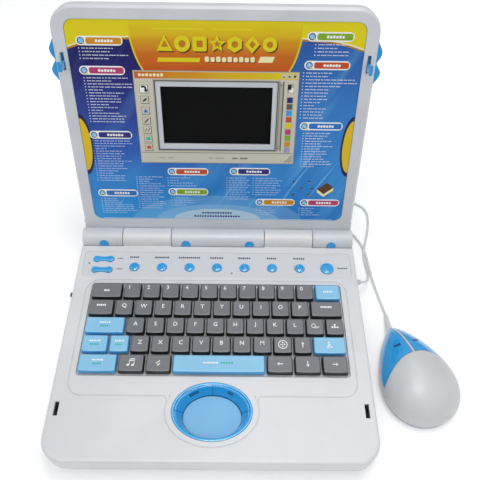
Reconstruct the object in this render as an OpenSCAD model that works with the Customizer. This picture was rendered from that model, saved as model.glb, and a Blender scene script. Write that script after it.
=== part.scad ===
// Toy laptop computer with a wired mouse, lid standing open.
// Origin: centre of the flat underside. +Z up, -Y towards the user, +X to the user's right.

/* [Base] */
// Width of the base
base_w = 270; // [268:1:276]
// Depth of the base, hinge included
base_d = 228; // [226:1:234]
// Height of the base from the table to its top
base_h = 28; // [28:0.5:30]
// Radius of the front corners
corner_r = 20; // [14:1:24]

/* [Lid] */
// Opening angle of the lid, 0 when closed
lid_angle = 107; // [90:1:107]
// Width of the lid
lid_w = 267.5; // [266:0.5:268]
// Height of the lid from the hinge axis to its top edge
lid_len = 220; // [218:1:224]
// Thickness of the lid
lid_t = 14; // [14:0.5:16]

/* [Keyboard] */
// Width of a letter key and its gap
key_pitch = 17.8; // [17.6:0.1:18]
// Distance from one row of keys to the next
row_pitch = 18.1; // [17.8:0.1:18.2]
// Height of the key tops above the base
key_h = 5; // [4.5:0.1:5.5]
// How far a key moves down
key_travel = 2; // [1.5:0.1:2]

/* [Mouse] */
// Length of the mouse shell
mouse_l = 95; // [90:1:98]
// Width of the mouse shell
mouse_w = 67; // [60:1:70]
// Height of the mouse
mouse_h = 33; // [30:1:35]

/* [Hidden] */
$fn = 48;
slack = 0.3;                     // clearance round a moving piece
over = 1;                        // how far a cutting shape passes the surface it cuts
wall = 2.4;                      // thickness of the base shells
floor_t = 2.4;
seam_z = 11;                     // where the base covers meet
back_r = 6;                      // radius of the base's back corners
edge_r = 2.5;                    // rounding of the base's top edge
taper = 3;                       // how far the bottom cover draws in towards the table
underside_z = base_h - wall;

// Hinge
hinge_r = 10;
hinge_y = base_d / 2 - hinge_r;
hinge_z = base_h;
pin_r = 2;
notch_r = hinge_r + 2 * slack;
// Ends of the hinge knuckles on one side: centre lid knuckle, base knuckle, outer lid knuckle
knuckle_x = [46, 94, 133.5];
plug_x = [31.5, 112.5];
plug_r = 4.5;
plug_rise = 10;                  // how far above level the plugs point with the lid open

// Function strip
strip_w = 259;
strip_d = 28.5;
strip_y = 72.2;
strip_depth = 1;
overlay_t = 0.8;
button_y = 68.7;
button_x0 = -80;
button_pitch = 26.65;
button_count = 7;
button_r = 4.65;
power_r = 6.2;
button_proud = 1.1;
button_travel = 1;
flange_w = 1.2;                  // how far a button's flange reaches past its cap
flange_t = 1.7;
volume_x = -110.8;
volume_y = [77.8, 65.2];
volume_l = 20;
volume_end_r = 3.4;
volume_waist = 2.2;

// Keyboard
keyboard_w = 232;
keyboard_back = 48.9;            // back edge of the first row's cells
key_gap = 1.2;
bed_depth = 2.4;
bed_margin = 1.2;
bed_z = base_h - bed_depth;
stem_r = 2.5;
stem_end_z = 22.4;
dome_top_z = stem_end_z - key_travel - 0.2;
membrane_z = 18.4;
membrane_t = 1;
key_board_t = 1.6;
row_count = 5;
// Cell widths of each row, left to right
function letter_cells(count) = [for (i = [1:count]) key_pitch];
ROWS = [
    concat([29.5], letter_cells(10), [24.5]),
    concat([24], letter_cells(10), [30]),
    concat([36.4], letter_cells(9), [17.7, 17.7]),
    concat([24, 18.4], letter_cells(7), [18, 17, 30]),
    [34, 23.5, 23, 80.5, 23.8, 23.8, 23.4]
];
wide_key = 50;                   // a key wider than this has two stems
outline_w = 245;                 // groove round the keyboard
outline_back = 54;
outline_front = -60.5;
outline_r = 13;
outline_fillet = 4;              // where the groove turns to run round the touch pad
groove_w = 0.8;
groove_depth = 0.4;

// Touch pad
pad_y = -72.6;
pad_r = [33.2, 24.5];            // half width and half depth of the ring
pad_rim_w = 1.8;
disc_r = [24.2, 18.3];
disc_y = pad_y - 2;
disc_z = 18.6;
disc_t = 1.4;
pad_floor_z = 13;
pad_travel = 1.2;
pad_swing = 0.11;                // share of its angle that a cut of the ring turns by the disc
bulge_r = [39.2, 29.6];          // where the keyboard's groove runs round the ring
ellipse_n = 64;

// Latches
latch_x = 127.5;
latch_t = 170;                   // lower end of the hook, measured from the hinge axis
latch_travel = 5.5;
grip_l = 34.5;
grip_drop = 12.5;                // how far the grip reaches below the hook
hook_w = 2.6;
hook_l = 5.5;
hook_foot = 2.7;
face_slot = [167.5, 182.5];
base_slot = [169.6, 181.4];

// Lid, drawn flat: X across, Y up from the hinge axis, Z towards the user
face_z = -8;                     // front face, behind the hinge axis
back_z = face_z - lid_t;
lid_seam_z = face_z - 7;
lid_bottom = 12;
lid_wall = 2.2;
lid_face_t = 3.4;
face_bevel = 2.2;
lid_corner_r = 20;
lid_mid = (lid_len + lid_bottom) / 2;
panel_w = 245.2;
panel_t0 = 17.2;
panel_t1 = 209.4;
panel_r = 8;
panel_depth = 1.2;
sheet_t = 0.5;
screen_y = 126.7;
screen_size = [97, 54.4];
frame_size = [105.2, 64];
speaker_at = [80.3, 54];
speaker_ring = 10.6;
speaker_hole_r = 1.2;
lid_screw_at = [for (x = [-126.5, 126.5], t = [30, 120, 204]) [x, t]];

// Battery bay, in the front left of the base
bay_x = [-116, -58];
bay_y = [-107.5, -61.5];
bay_wall = 1.6;
bay_top = 17.2;
door_x = [-113, -61];
door_bevel = 1.5;
door_slack = 0.15;
aa_r = 7.1;
aa_l = 49.5;
aa_pitch = 15.2;
aa_z = 9.6;

// Fasteners and feet
base_screw_at = [[-125.5, 30], [125.5, 30], [-125.5, -35], [125.5, -35],
                 [-46, -107], [46, -107], [-36, 87], [36, 87]];
screw_r = 1.5;
screw_head_r = 3;
boss_r = 4.5;
foot_at = [[-123, -80], [122, -80], [-122, 80], [122, 80]];
foot_r = 6;
foot_t = 1.5;

// Power switch on the left side
switch_y = 44;
switch_z = 19;
switch_travel = 4;

// Main board
board_z = 14;
board_t = 1.6;
board_y = [59.5, 82];
tact_top = 18.6;

// Mouse and its cord
mouse_nose = [163.5, 15.5];
mouse_turn = 17;                 // the mouse's tail points this far to the right of -Y
mouse_pivot = [163.6, 30, 2.8];  // where the cord enters the strain relief
mouse_skin = 2;
mouse_base_h = 6;
mouse_peak = 0.58;               // where the shell is highest, as a part of its length
relief_r = [2.2, 3.2];           // strain relief at the cord and at the mouse
relief_root = [163.4, 12, 6.5];
mouse_skirt = 10.5;              // lower edge of the mouse buttons
mouse_travel = 0.8;
split_half = 0.9;                // half width of the rib between the mouse buttons
button_front = 36.5;             // from the nose to where the rib ends
button_tail = 15;                // how much further back the buttons reach at the sides
cord_r = 1.2;
cord_sides = 8;
gland_y = 62;
gland_z = 15;
gland_out = 6;
coil_at = [96, 168];
coil_r = [13.2, 21.8];
coil_h = 5.3;
cord_to_coil = [
    [141, 62, 15], [145, 63, 14.2], [148.6, 66.5, 11.6], [150.8, 72, 8.6], [152, 79, 5.4],
    [152, 87, 2.6], [151.5, 94, 1.5], [151.2, 101, 2.2], [151.5, 107, 3.5], [152.8, 113, 3.8],
    [154.7, 119, 3.1], [156.8, 126, 1.7], [159, 134, 1.3], [161, 143, 1.3], [162.2, 152, 1.3],
    [161.8, 161.5, 1.3], [158, 169.5, 1.3], [150.7, 174.8, 1.3], [141, 179, 1.3],
    [129, 182.8, 1.3], [116, 185.2, 1.3], [104, 186.8, 1.3]
];
cord_to_mouse = [
    [163.6, 32.3, 2.6], [162.2, 41, 1.3], [159.8, 53, 1.3], [157.7, 65, 1.3], [156, 77, 1.3],
    [155, 89, 1.3], [154.2, 100, 1.3], [152.8, 110, 1.3], [149.4, 120, 1.3], [144, 130, 1.3],
    [136.5, 138.5, 1.3], [127, 144.5, 1.3], [116, 148, 1.3], [104, 149.2, 1.3]
];

// ---- Colours ----
shell_grey = "#d9dbde";
lid_grey = "#bcc0c7";
toy_blue = "#2196dc";
key_grey = "#6d6e72";
key_blue = "#8ccbf0";

// ---- Helpers ----

// Rectangle centred on the origin with true round corners
module rounded_rect(w, d, r) {
    square([w - 2 * r, d], center = true);
    square([w, d - 2 * r], center = true);
    for (sx = [-1, 1], sy = [-1, 1])
        translate([sx * (w / 2 - r), sy * (d / 2 - r)])
            circle(r);
}

// Rectangle with one radius at its low-Y corners and another at its high-Y corners
module two_radius_rect(w, d, low_r, high_r) {
    translate([-w / 2, -d / 2 + low_r])
        square([w, d - low_r - high_r]);
    for (end = [[-1, low_r], [1, high_r]])
        translate([0, end[0] * (d / 2 - end[1] / 2)])
            square([w - 2 * end[1], end[1]], center = true);
    for (sx = [-1, 1], end = [[-1, low_r], [1, high_r]])
        translate([sx * (w / 2 - end[1]), end[0] * (d / 2 - end[1])])
            circle(end[1]);
}

function ellipse_points(r, n = ellipse_n) =
    [for (i = [0:n - 1]) [r.x * cos(360 * i / n), r.y * sin(360 * i / n)]];

module ellipse(r) polygon(ellipse_points(r));

// Closed solid through rings of points, one ring above the next, each anticlockwise from above
module loft(rings) {
    n = len(rings[0]);
    last = len(rings) - 1;
    polyhedron(
        points = [for (ring = rings) each ring],
        faces = concat(
            [[for (i = [0:n - 1]) i]],
            [for (k = [0:last - 1], i = [0:n - 1])
                [k * n + i, (k + 1) * n + i, (k + 1) * n + (i + 1) % n, k * n + (i + 1) % n]],
            [[for (i = [n - 1:-1:0]) last * n + i]]
        )
    );
}

module for_both_sides() {
    children();
    mirror([1, 0, 0])
        children();
}

// Cylinder along X
module rod_x(r, x0, x1)
    translate([x0, 0, 0])
        rotate([0, 90, 0])
            cylinder(r = r, h = x1 - x0);

module at_hinge()
    translate([0, hinge_y, hinge_z])
        children();

module lid_place()
    at_hinge()
        rotate([180 - lid_angle, 0, 0])
            children();

// ---- Base shells ----

module base_outline(inset = 0)
    two_radius_rect(base_w - 2 * inset, base_d - 2 * inset, corner_r - inset, back_r - inset);

module base_screw_bores(r, z0, z1)
    for (p = base_screw_at)
        translate([p.x, p.y, z0])
            cylinder(r = r, h = z1 - z0);

// Sliding door's outline, wider at its top, so that the floor's edges hold it
module door_section(grow)
    polygon([
        [door_x[0] - grow, -over], [door_x[1] + grow, -over],
        [door_x[1] + grow, 0], [door_x[1] + door_bevel + grow, floor_t],
        [door_x[1] + door_bevel + grow, floor_t + grow],
        [door_x[0] - door_bevel - grow, floor_t + grow],
        [door_x[0] - door_bevel - grow, floor_t], [door_x[0] - grow, 0]
    ]);

module along_y(y0, y1)
    translate([0, y1, 0])
        rotate([90, 0, 0])
            linear_extrude(y1 - y0)
                children();

// The bottom cover's body between two heights, full size at the seam and narrower below it
module tapered_body(inset, z0, z1)
    hull()
        for (z = [z0, z1])
            translate([0, 0, z == z0 ? z0 : z1 - sheet_t])
                linear_extrude(sheet_t)
                    base_outline(inset + taper * max(0, 1 - z / seam_z));

module base_bottom_cover() {
    post_at = concat(
        [for (x = [-100, 0, 100], y = [-28, 34]) [x, y, membrane_z - key_board_t]],
        [for (x = [-110, -40, 40, 110], y = [61.5, 80]) [x, y, board_z]]
    );
    color(shell_grey)
        difference() {
            union() {
                difference() {
                    tapered_body(0, 0, seam_z);
                    tapered_body(wall, floor_t, seam_z + over);
                }
                base_screw_bores(boss_r, over, seam_z);
                for (p = post_at)
                    translate([p.x, p.y, floor_t / 2])
                        cylinder(r = 3, h = p.z - floor_t / 2);
                translate([bay_x[0] - bay_wall, bay_y[0] - bay_wall, floor_t / 2])
                    cube([bay_x[1] - bay_x[0] + 2 * bay_wall, bay_y[1] - bay_y[0] + 2 * bay_wall,
                          bay_top + bay_wall - floor_t / 2]);
            }
            translate([bay_x[0], bay_y[0], floor_t + door_slack])
                cube([bay_x[1] - bay_x[0], bay_y[1] - bay_y[0], bay_top - floor_t - door_slack]);
            along_y(-base_d / 2 - over, bay_y[1] + door_slack)
                door_section(door_slack);
            for (p = foot_at)
                translate([p.x, p.y, -over])
                    cylinder(r = foot_r, h = foot_t + over);
            base_screw_bores(screw_head_r + slack, -over, 4);
            base_screw_bores(screw_r + slack, 0, seam_z + over);
        }
}

// Notch that one lid knuckle turns in, open at the top and back
module knuckle_notch(x0, x1) {
    at_hinge()
        rod_x(notch_r, x0 - slack, x1 + slack);
    translate([x0 - slack, hinge_y, hinge_z - 6])
        cube([x1 - x0 + 2 * slack, hinge_r + over, 20]);
}

module base_shell() {
    slice = 0.01;
    difference() {
        union() {
            translate([0, 0, seam_z])
                linear_extrude(base_h - edge_r - seam_z)
                    base_outline();
            hull()
                for (a = [0:30:90])
                    translate([0, 0, base_h - edge_r * (1 - sin(a)) - slice])
                        linear_extrude(slice)
                            base_outline(edge_r * (1 - cos(a)));
        }
        translate([0, 0, seam_z - over])
            linear_extrude(underside_z - seam_z + over)
                base_outline(wall);
    }
}

// Solid rib under the hinge and the two knuckles that stand up from it
module hinge_rib() {
    intersection() {
        translate([0, 0, seam_z])
            linear_extrude(base_h - seam_z - wall / 2)
                base_outline(wall / 2);
        at_hinge()
            rod_x(notch_r + wall, -base_w / 2, base_w / 2);
    }
    for_both_sides() {
        at_hinge()
            rod_x(hinge_r, knuckle_x[0], knuckle_x[1]);
        translate([knuckle_x[0], hinge_y, seam_z])
            cube([knuckle_x[1] - knuckle_x[0], hinge_r, base_h - seam_z]);
    }
}

function keyboard_front() = keyboard_back - row_count * row_pitch;

module keyboard_bed_block(margin, z0, z1)
    translate([0, (keyboard_back + keyboard_front()) / 2, z0])
        linear_extrude(z1 - z0)
            rounded_rect(keyboard_w + 2 * margin, row_count * row_pitch + 2 * margin, 3);

module all_stem_holes()
    for (row = [0:row_count - 1], i = [0:len(ROWS[row]) - 1])
        for (p = stem_places(row, i))
            translate([p.x, p.y, underside_z - 6])
                cylinder(r = stem_r + slack, h = 10);

// Line round the keyboard that bulges forward round the touch pad
module keyboard_surround(inset) {
    translate([0, (outline_back + outline_front) / 2])
        rounded_rect(outline_w - 2 * inset, outline_back - outline_front - 2 * inset,
                     outline_r - inset);
    translate([0, pad_y])
        ellipse(bulge_r - [inset, inset]);
    for_both_sides()
        translate([bulge_r.x + outline_fillet - 1, outline_front - outline_fillet])
            difference() {
                translate([-outline_fillet - 2, 0])
                    square([outline_fillet + 2, outline_fillet + over]);
                circle(outline_fillet + inset);
            }
}

module keyboard_groove()
    translate([0, 0, base_h - groove_depth])
        linear_extrude(groove_depth + over)
            difference() {
                keyboard_surround(0);
                keyboard_surround(groove_w);
            }

module base_top_cover() {
    color(shell_grey)
        difference() {
            union() {
                base_shell();
                hinge_rib();
                keyboard_bed_block(bed_margin + wall, underside_z - wall, underside_z + over);
                base_screw_bores(boss_r - 1, seam_z, underside_z);
            }
            knuckle_notch(-knuckle_x[0], knuckle_x[0]);
            for_both_sides()
                knuckle_notch(knuckle_x[1], base_w / 2 + over);
            at_hinge()
                rod_x(pin_r + 0.05, -knuckle_x[1] - over, knuckle_x[1] + over);
            translate([0, strip_y, base_h - strip_depth])
                linear_extrude(strip_depth + over)
                    rounded_rect(strip_w, strip_d, 3);
            strip_holes(slack);
            keyboard_bed_block(bed_margin, bed_z, base_h + over);
            all_stem_holes();
            keyboard_groove();
            translate([0, pad_y, underside_z - over])
                linear_extrude(wall + 2 * over)
                    ellipse(pad_r + [slack, slack]);
            for_both_sides()
                translate([latch_x - hook_w / 2 - 0.5, hinge_y - base_slot[1], underside_z - over])
                    cube([hook_w + 1, base_slot[1] - base_slot[0], wall + 2 * over]);
            translate([-base_w / 2 - over, switch_y - 6, switch_z - 2])
                cube([wall + 2 * over, 12, 4]);
            translate([base_w / 2 - wall - over, gland_y, gland_z])
                rod_x(3.3, 0, wall + 2 * over);
            base_screw_bores(screw_r + 0.05, seam_z - over, underside_z - wall);
        }
}

// ---- Function strip ----

function button_x(i) = button_x0 + button_pitch * i;

// Two round ends joined by a narrow waist
module bow_tie(grow) {
    end_x = volume_l / 2 - volume_end_r;
    for (sx = [-1, 1])
        translate([sx * end_x, 0])
            circle(volume_end_r + grow);
    polygon([
        [-end_x, volume_end_r + grow], [-end_x / 3, volume_waist + grow],
        [end_x / 3, volume_waist + grow], [end_x, volume_end_r + grow],
        [end_x, -volume_end_r - grow], [end_x / 3, -volume_waist - grow],
        [-end_x / 3, -volume_waist - grow], [-end_x, -volume_end_r - grow]
    ]);
}

module strip_hole_outlines(grow) {
    for (i = [0:button_count - 1])
        translate([button_x(i), button_y])
            circle(button_r + grow);
    translate([button_x(button_count), button_y])
        circle(power_r + grow);
    for (y = volume_y)
        translate([volume_x, y])
            bow_tie(grow);
}

module strip_holes(grow)
    translate([0, 0, underside_z - over])
        linear_extrude(wall + 2 * over)
            strip_hole_outlines(grow);

module function_overlay() {
    color("#dfe1e4")
        translate([0, 0, base_h - strip_depth])
            linear_extrude(overlay_t)
                difference() {
                    translate([0, strip_y])
                        rounded_rect(strip_w - 0.2, strip_d - 0.2, 2.9);
                    strip_hole_outlines(slack);
                }
}

// A cap through the strip, a flange below it that stops it, and a stem down to its switch
module push_button(x, y) {
    flange_top = underside_z - 0.1;
    color(toy_blue)
        translate([x, y, 0]) {
            translate([0, 0, flange_top - flange_t])
                linear_extrude(base_h + button_proud - flange_top + flange_t)
                    children(0);
            translate([0, 0, flange_top - flange_t])
                linear_extrude(flange_t)
                    children(1);
            translate([0, 0, tact_top + button_travel + 0.2])
                cylinder(r = 2, h = flange_top - flange_t - tact_top - button_travel);
        }
}

module round_button(i, r)
    push_button(button_x(i), button_y) {
        circle(r);
        circle(r + flange_w);
    }

module volume_button(i)
    push_button(volume_x, volume_y[i]) {
        bow_tie(0);
        bow_tie(flange_w);
    }

module main_board() {
    switch_at = concat(
        [for (i = [0:button_count]) [button_x(i), button_y]],
        [for (y = volume_y) [volume_x, y]]
    );
    color("#2e7d4f")
        translate([-122, board_y[0], board_z])
            cube([244, board_y[1] - board_y[0], board_t]);
    color("#303030") {
        for (p = switch_at)
            translate([p.x, p.y, board_z + board_t])
                cylinder(r = 2.2, h = tact_top - board_z - board_t);
        translate([12, 74, board_z + board_t])
            cylinder(r = 5, h = 1.4);
    }
}

// ---- Keys ----

function cell_start(row, i) = i == 0 ? -keyboard_w / 2 : cell_start(row, i - 1) + ROWS[row][i - 1];
function key_centre(row, i) = [
    cell_start(row, i) + ROWS[row][i] / 2,
    keyboard_back - (row + 0.5) * row_pitch
];
function stem_places(row, i) =
    let (c = key_centre(row, i), w = ROWS[row][i])
    w > wide_key ? [[c.x - w / 3, c.y], [c.x + w / 3, c.y]] : [c];

// Rectangle with cut corners, at one height
function cut_rect(x0, x1, y0, y1, cut, z) = [
    [x0 + cut, y0, z], [x1 - cut, y0, z], [x1, y0 + cut, z], [x1, y1 - cut, z],
    [x1 - cut, y1, z], [x0 + cut, y1, z], [x0, y1 - cut, z], [x0, y0 + cut, z]
];

module key_cap(row, i) {
    c = key_centre(row, i);
    hw = (ROWS[row][i] - key_gap) / 2;
    hd = (row_pitch - key_gap) / 2;
    top_z = base_h + key_h;
    loft([
        cut_rect(c.x - hw, c.x + hw, c.y - hd, c.y + hd, 1, base_h),
        cut_rect(c.x - hw + 0.5, c.x + hw - 0.5, c.y - hd + 0.3, c.y + hd - 1.1, 1, top_z - 0.8),
        cut_rect(c.x - hw + 1.2, c.x + hw - 1.2, c.y - hd + 1, c.y + hd - 1.8, 1, top_z)
    ]);
    for (p = stem_places(row, i))
        translate([p.x, p.y, stem_end_z])
            cylinder(r = stem_r, h = base_h - stem_end_z + over);
}

// Keys of one row, from one place to another
module keys(row, first, last, paint)
    color(paint)
        for (i = [first:last])
            key_cap(row, i);

module keyboard_board() {
    color("#2e7d4f")
        translate([0, (keyboard_back + keyboard_front()) / 2, membrane_z - key_board_t])
            linear_extrude(key_board_t)
                square([keyboard_w, row_count * row_pitch], center = true);
}

module keyboard_membrane() {
    color("#c8ccd2") {
        translate([0, (keyboard_back + keyboard_front()) / 2, membrane_z])
            linear_extrude(membrane_t)
                square([keyboard_w, row_count * row_pitch], center = true);
        for (row = [0:row_count - 1], i = [0:len(ROWS[row]) - 1])
            for (p = stem_places(row, i))
                translate([p.x, p.y, membrane_z + membrane_t])
                    cylinder(r1 = 3.6, r2 = 2.4, h = dome_top_z - membrane_z - membrane_t);
    }
}

// ---- Touch pad ----

// Point between the ring's outer edge (part = 0) and the disc's edge (part = 1) at an angle
function pad_point(angle, part, z) =
    let (end = angle < 180 ? 90 + (angle - 90) * (1 - pad_swing)
                            : 270 + (angle - 270) * (1 + pad_swing),
         outer = [(pad_r.x - pad_rim_w) * cos(angle), pad_y + (pad_r.y - pad_rim_w) * sin(angle)],
         inner = [(disc_r.x + slack) * cos(end), disc_y + (disc_r.y + slack) * sin(end)])
    [outer.x + (inner.x - outer.x) * part, outer.y + (inner.y - outer.y) * part, z];

// Sector of the bowl-shaped ring: crowned near its outside, sloping down to the disc
module pad_sector(from, to, lift, outer_gap) {
    steps = 14;
    profile = [[0.5, 19.4], [0.98, disc_z - 0.6 + lift], [0.98, disc_z + 1.2 + lift],
               [0.68, 23.5 + lift], [0.34, base_h - 0.6 + lift], [0.16, base_h + 0.2 + lift],
               [outer_gap, base_h - 0.6 + lift], [outer_gap, 20]];
    loft([for (k = [0:steps])
        [for (p = profile) pad_point(from + (to - from) * k / steps, p[0], p[1])]]);
}

module pad_dish() {
    color(toy_blue) {
        translate([0, pad_y, pad_floor_z])
            linear_extrude(base_h + 0.4 - pad_floor_z)
                difference() {
                    ellipse(pad_r);
                    ellipse(pad_r - [pad_rim_w, pad_rim_w]);
                }
        translate([0, pad_y, pad_floor_z])
            linear_extrude(1.6)
                ellipse(pad_r - [pad_rim_w / 2, pad_rim_w / 2]);
        translate([0, pad_y, underside_z - 1.6])
            linear_extrude(1.6)
                difference() {
                    ellipse(pad_r + [3, 3]);
                    ellipse(pad_r - [pad_rim_w / 2, pad_rim_w / 2]);
                }
        pad_sector(180.4, 359.6, 0, -0.05);
    }
}

module touch_disc() {
    color("#79b7e3") {
        translate([0, disc_y, disc_z - disc_t])
            linear_extrude(disc_t)
                ellipse(disc_r);
        translate([0, disc_y, pad_floor_z + 1.6])
            linear_extrude(disc_z - disc_t - pad_floor_z - 1.6)
                ellipse(disc_r - [5, 5]);
    }
}

module pad_button(from, to)
    color(toy_blue)
        pad_sector(from, to, 0.5, 0.05);

// ---- Small parts of the base ----

module battery_door() {
    color(shell_grey)
        difference() {
            intersection() {
                along_y(taper - base_d / 2, bay_y[1])
                    door_section(0);
                translate([-base_w / 2, -base_d / 2, 0])
                    cube([base_w, base_d, floor_t]);
            }
            for (i = [0:4])
                translate([-97, -104 + 3 * i, -over])
                    cube([20, 1.2, over + 0.6]);
        }
}

// One AA cell along X, its button end towards +X
module aa_cell()
    rotate([0, 90, 0]) {
        translate([0, 0, -aa_l / 2 - 0.5])
            cylinder(r = aa_r, h = aa_l);
        translate([0, 0, aa_l / 2 - 0.5])
            cylinder(r = 2.75, h = 1);
    }

function bay_centre() = [(bay_x[0] + bay_x[1]) / 2, (bay_y[0] + bay_y[1]) / 2];

module batteries() {
    color("#3f8f5a")
        for (i = [-1:1])
            translate([bay_centre().x, bay_centre().y + i * aa_pitch, aa_z])
                rotate([0, 0, i == 0 ? 180 : 0])
                    aa_cell();
}

module battery_contacts() {
    color("#b9b9b4")
        for (i = [-1:1], sx = [-1, 1]) {
            flat_end = sx * (i == 0 ? -1 : 1) < 0;
            gap = (bay_x[1] - bay_x[0] - aa_l - 1) / 2;
            translate([bay_centre().x, bay_centre().y + i * aa_pitch, aa_z])
                rotate([0, 0, sx > 0 ? 0 : 180]) {
                    translate([(bay_x[1] - bay_x[0]) / 2 - 0.5, -5, -5])
                        cube([0.5, 10, 10]);
                    rod_x(flat_end ? 2.5 : 3.5, (bay_x[1] - bay_x[0]) / 2 - gap,
                          (bay_x[1] - bay_x[0]) / 2 - 0.5);
                }
        }
}

module rubber_feet() {
    color("#3a3b3d")
        for (p = foot_at)
            translate([p.x, p.y, 0])
                cylinder(r = foot_r, h = foot_t);
}

// Screw pointing up, its head at z = 0
module screw(length) {
    difference() {
        cylinder(r = screw_head_r, h = 2);
        for (a = [0, 90])
            rotate([0, 0, a])
                cube([4, 0.8, 1.6], center = true);
    }
    cylinder(r = screw_r, h = length);
}

module base_screws() {
    color("#8e9196")
        for (p = base_screw_at)
            translate([p.x, p.y, 2])
                screw(18);
}

module hinge_pins() {
    color("#8e9196")
        at_hinge()
            for_both_sides()
                rod_x(pin_r, knuckle_x[0] - 16, knuckle_x[1] + 16);
}

module switch_housing() {
    color("#2b2c2e")
        translate([-base_w / 2 + wall, switch_y - 9, switch_z - 3.5])
            difference() {
                cube([7, 18, 7]);
                translate([-over, 3 - slack, 1.5 - slack])
                    cube([over + 4, 12 + 2 * slack, 4 + 2 * slack]);
            }
}

module side_switch() {
    color("#46484b") {
        translate([-base_w / 2 - 1.6, switch_y - 4.6, switch_z - 1.6])
            cube([1.6, 5, 3.2]);
        translate([-base_w / 2 - 0.5, switch_y - 3.6, switch_z - 1.2])
            cube([wall + 3, 3, 2.4]);
    }
}

// ---- Lid ----

module lid_outline(inset = 0)
    translate([0, lid_mid])
        two_radius_rect(lid_w - 2 * inset, lid_len - lid_bottom - 2 * inset, 4 - inset / 2,
                        lid_corner_r - inset);

module panel_outline(inset = 0)
    translate([0, (panel_t0 + panel_t1) / 2])
        rounded_rect(panel_w - 2 * inset, panel_t1 - panel_t0 - 2 * inset, panel_r - inset);

module speaker_hole_outlines()
    translate(speaker_at) {
        circle(speaker_hole_r, $fn = 24);
        for (a = [0, 45, 135, 180, 225, 315])
            translate([speaker_ring * cos(a), speaker_ring * sin(a)])
                circle(speaker_hole_r, $fn = 24);
    }

module lid_screw_bores(r, z0, z1)
    for (p = lid_screw_at)
        translate([p.x, p.y, z0])
            cylinder(r = r, h = z1 - z0);

// Lid knuckle with the web that carries the lid
module lid_knuckle(x0, x1) {
    rod_x(hinge_r, x0, x1);
    translate([x0, 0, back_z + 3])
        cube([x1 - x0, lid_bottom, face_z - back_z - 3]);
    translate([x0, 0, lid_seam_z])
        cube([x1 - x0, web_top(), face_z - lid_seam_z]);
}

function web_top() = lid_bottom + face_bevel + lid_wall / 2;

// The frame's lower edge over a base knuckle, cut clear of it
module lid_web(x0, x1)
    difference() {
        translate([x0 - 2, hinge_r / 2, lid_seam_z])
            cube([x1 - x0 + 4, web_top() - hinge_r / 2, face_z - lid_seam_z]);
        rod_x(notch_r, x0 - slack, x1 + slack);
    }

module plug_places()
    for (sx = [-1, 1], x = plug_x)
        translate([sx * x, 0, 0])
            rotate([lid_angle - 90 - plug_rise, 0, 0])
                children();

// Front half of the lid with a bevel round its face
module lid_front_body() {
    slice = 0.01;
    translate([0, 0, lid_seam_z])
        linear_extrude(face_z - face_bevel - lid_seam_z)
            lid_outline();
    hull()
        for (inset = [0, face_bevel])
            translate([0, 0, face_z - face_bevel + inset - slice])
                linear_extrude(slice)
                    lid_outline(inset);
}

module lid_front_frame() {
    color(lid_grey)
        lid_place()
            difference() {
                union() {
                    difference() {
                        lid_front_body();
                        translate([0, 0, lid_seam_z - over])
                            linear_extrude(face_z - lid_face_t - lid_seam_z + over)
                                lid_outline(lid_wall);
                    }
                    lid_screw_bores(3, lid_seam_z, face_z - over);
                    lid_knuckle(-knuckle_x[0] + slack, knuckle_x[0] - slack);
                    for_both_sides() {
                        lid_knuckle(knuckle_x[1] + slack, knuckle_x[2]);
                        lid_web(knuckle_x[0], knuckle_x[1]);
                    }
                }
                translate([0, 0, face_z - panel_depth])
                    linear_extrude(panel_depth + over)
                        panel_outline();
                translate([0, screen_y, face_z - lid_face_t - over])
                    linear_extrude(lid_face_t + 2 * over)
                        square(screen_size, center = true);
                translate([0, 0, face_z - lid_face_t - over])
                    linear_extrude(lid_face_t + 2 * over)
                        speaker_hole_outlines();
                for_both_sides()
                    latch_slots();
                lid_screw_bores(screw_r + 0.05, lid_seam_z - over, face_z - 1.4);
                for_both_sides()
                    rod_x(pin_r + slack, knuckle_x[0] - 18, knuckle_x[1] + 18);
                plug_places()
                    translate([0, 0, hinge_r - 3])
                        cylinder(r = plug_r + 0.1, h = 5);
            }
}

// Slot in the face for the hook and slot in the side for the grip
module latch_slots() {
    translate([latch_x - hook_w / 2 - slack, face_slot[0], face_z - lid_face_t - over])
        cube([hook_w + 2 * slack, face_slot[1] - face_slot[0], lid_face_t + 2 * over]);
    translate([lid_w / 2 - lid_wall - over, latch_t - 3 - slack, lid_seam_z])
        cube([lid_wall + 2 * over, 18 + latch_travel, 3.2]);
}

module lid_back_cover() {
    chamfer = 3;
    plate_z = back_z + lid_wall;
    color(lid_grey)
        lid_place()
            difference() {
                hull() {
                    translate([0, 0, back_z])
                        linear_extrude(0.01)
                            lid_outline(chamfer);
                    translate([0, 0, back_z + chamfer])
                        linear_extrude(lid_seam_z - back_z - chamfer)
                            lid_outline();
                }
                difference() {
                    translate([0, 0, plate_z])
                        linear_extrude(lid_seam_z - plate_z + over)
                            lid_outline(lid_wall + 1);
                    lid_screw_bores(3.8, plate_z - over, lid_seam_z + over);
                }
                lid_screw_bores(screw_head_r + slack, back_z - over, back_z + 2.4);
                lid_screw_bores(screw_r + slack, back_z, lid_seam_z + over);
            }
}

module lid_screws() {
    color("#8e9196")
        lid_place()
            for (p = lid_screw_at)
                translate([p.x, p.y, back_z + 0.4])
                    screw(11);
}

module printed_panel() {
    color("#2353a8")
        lid_place()
            translate([0, 0, face_z - panel_depth])
                linear_extrude(sheet_t)
                    difference() {
                        panel_outline(0.2);
                        translate([0, screen_y])
                            square(frame_size, center = true);
                        speaker_hole_outlines();
                    }
}

module screen_window() {
    color("#202428")
        lid_place()
            translate([0, screen_y, face_z - lid_face_t - 1])
                linear_extrude(1)
                    square(screen_size + [3, 3], center = true);
}

module lcd_module() {
    color("#101214")
        lid_place()
            translate([0, screen_y, face_z - lid_face_t - 5])
                linear_extrude(4)
                    square(screen_size + [7, 8], center = true);
}

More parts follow.
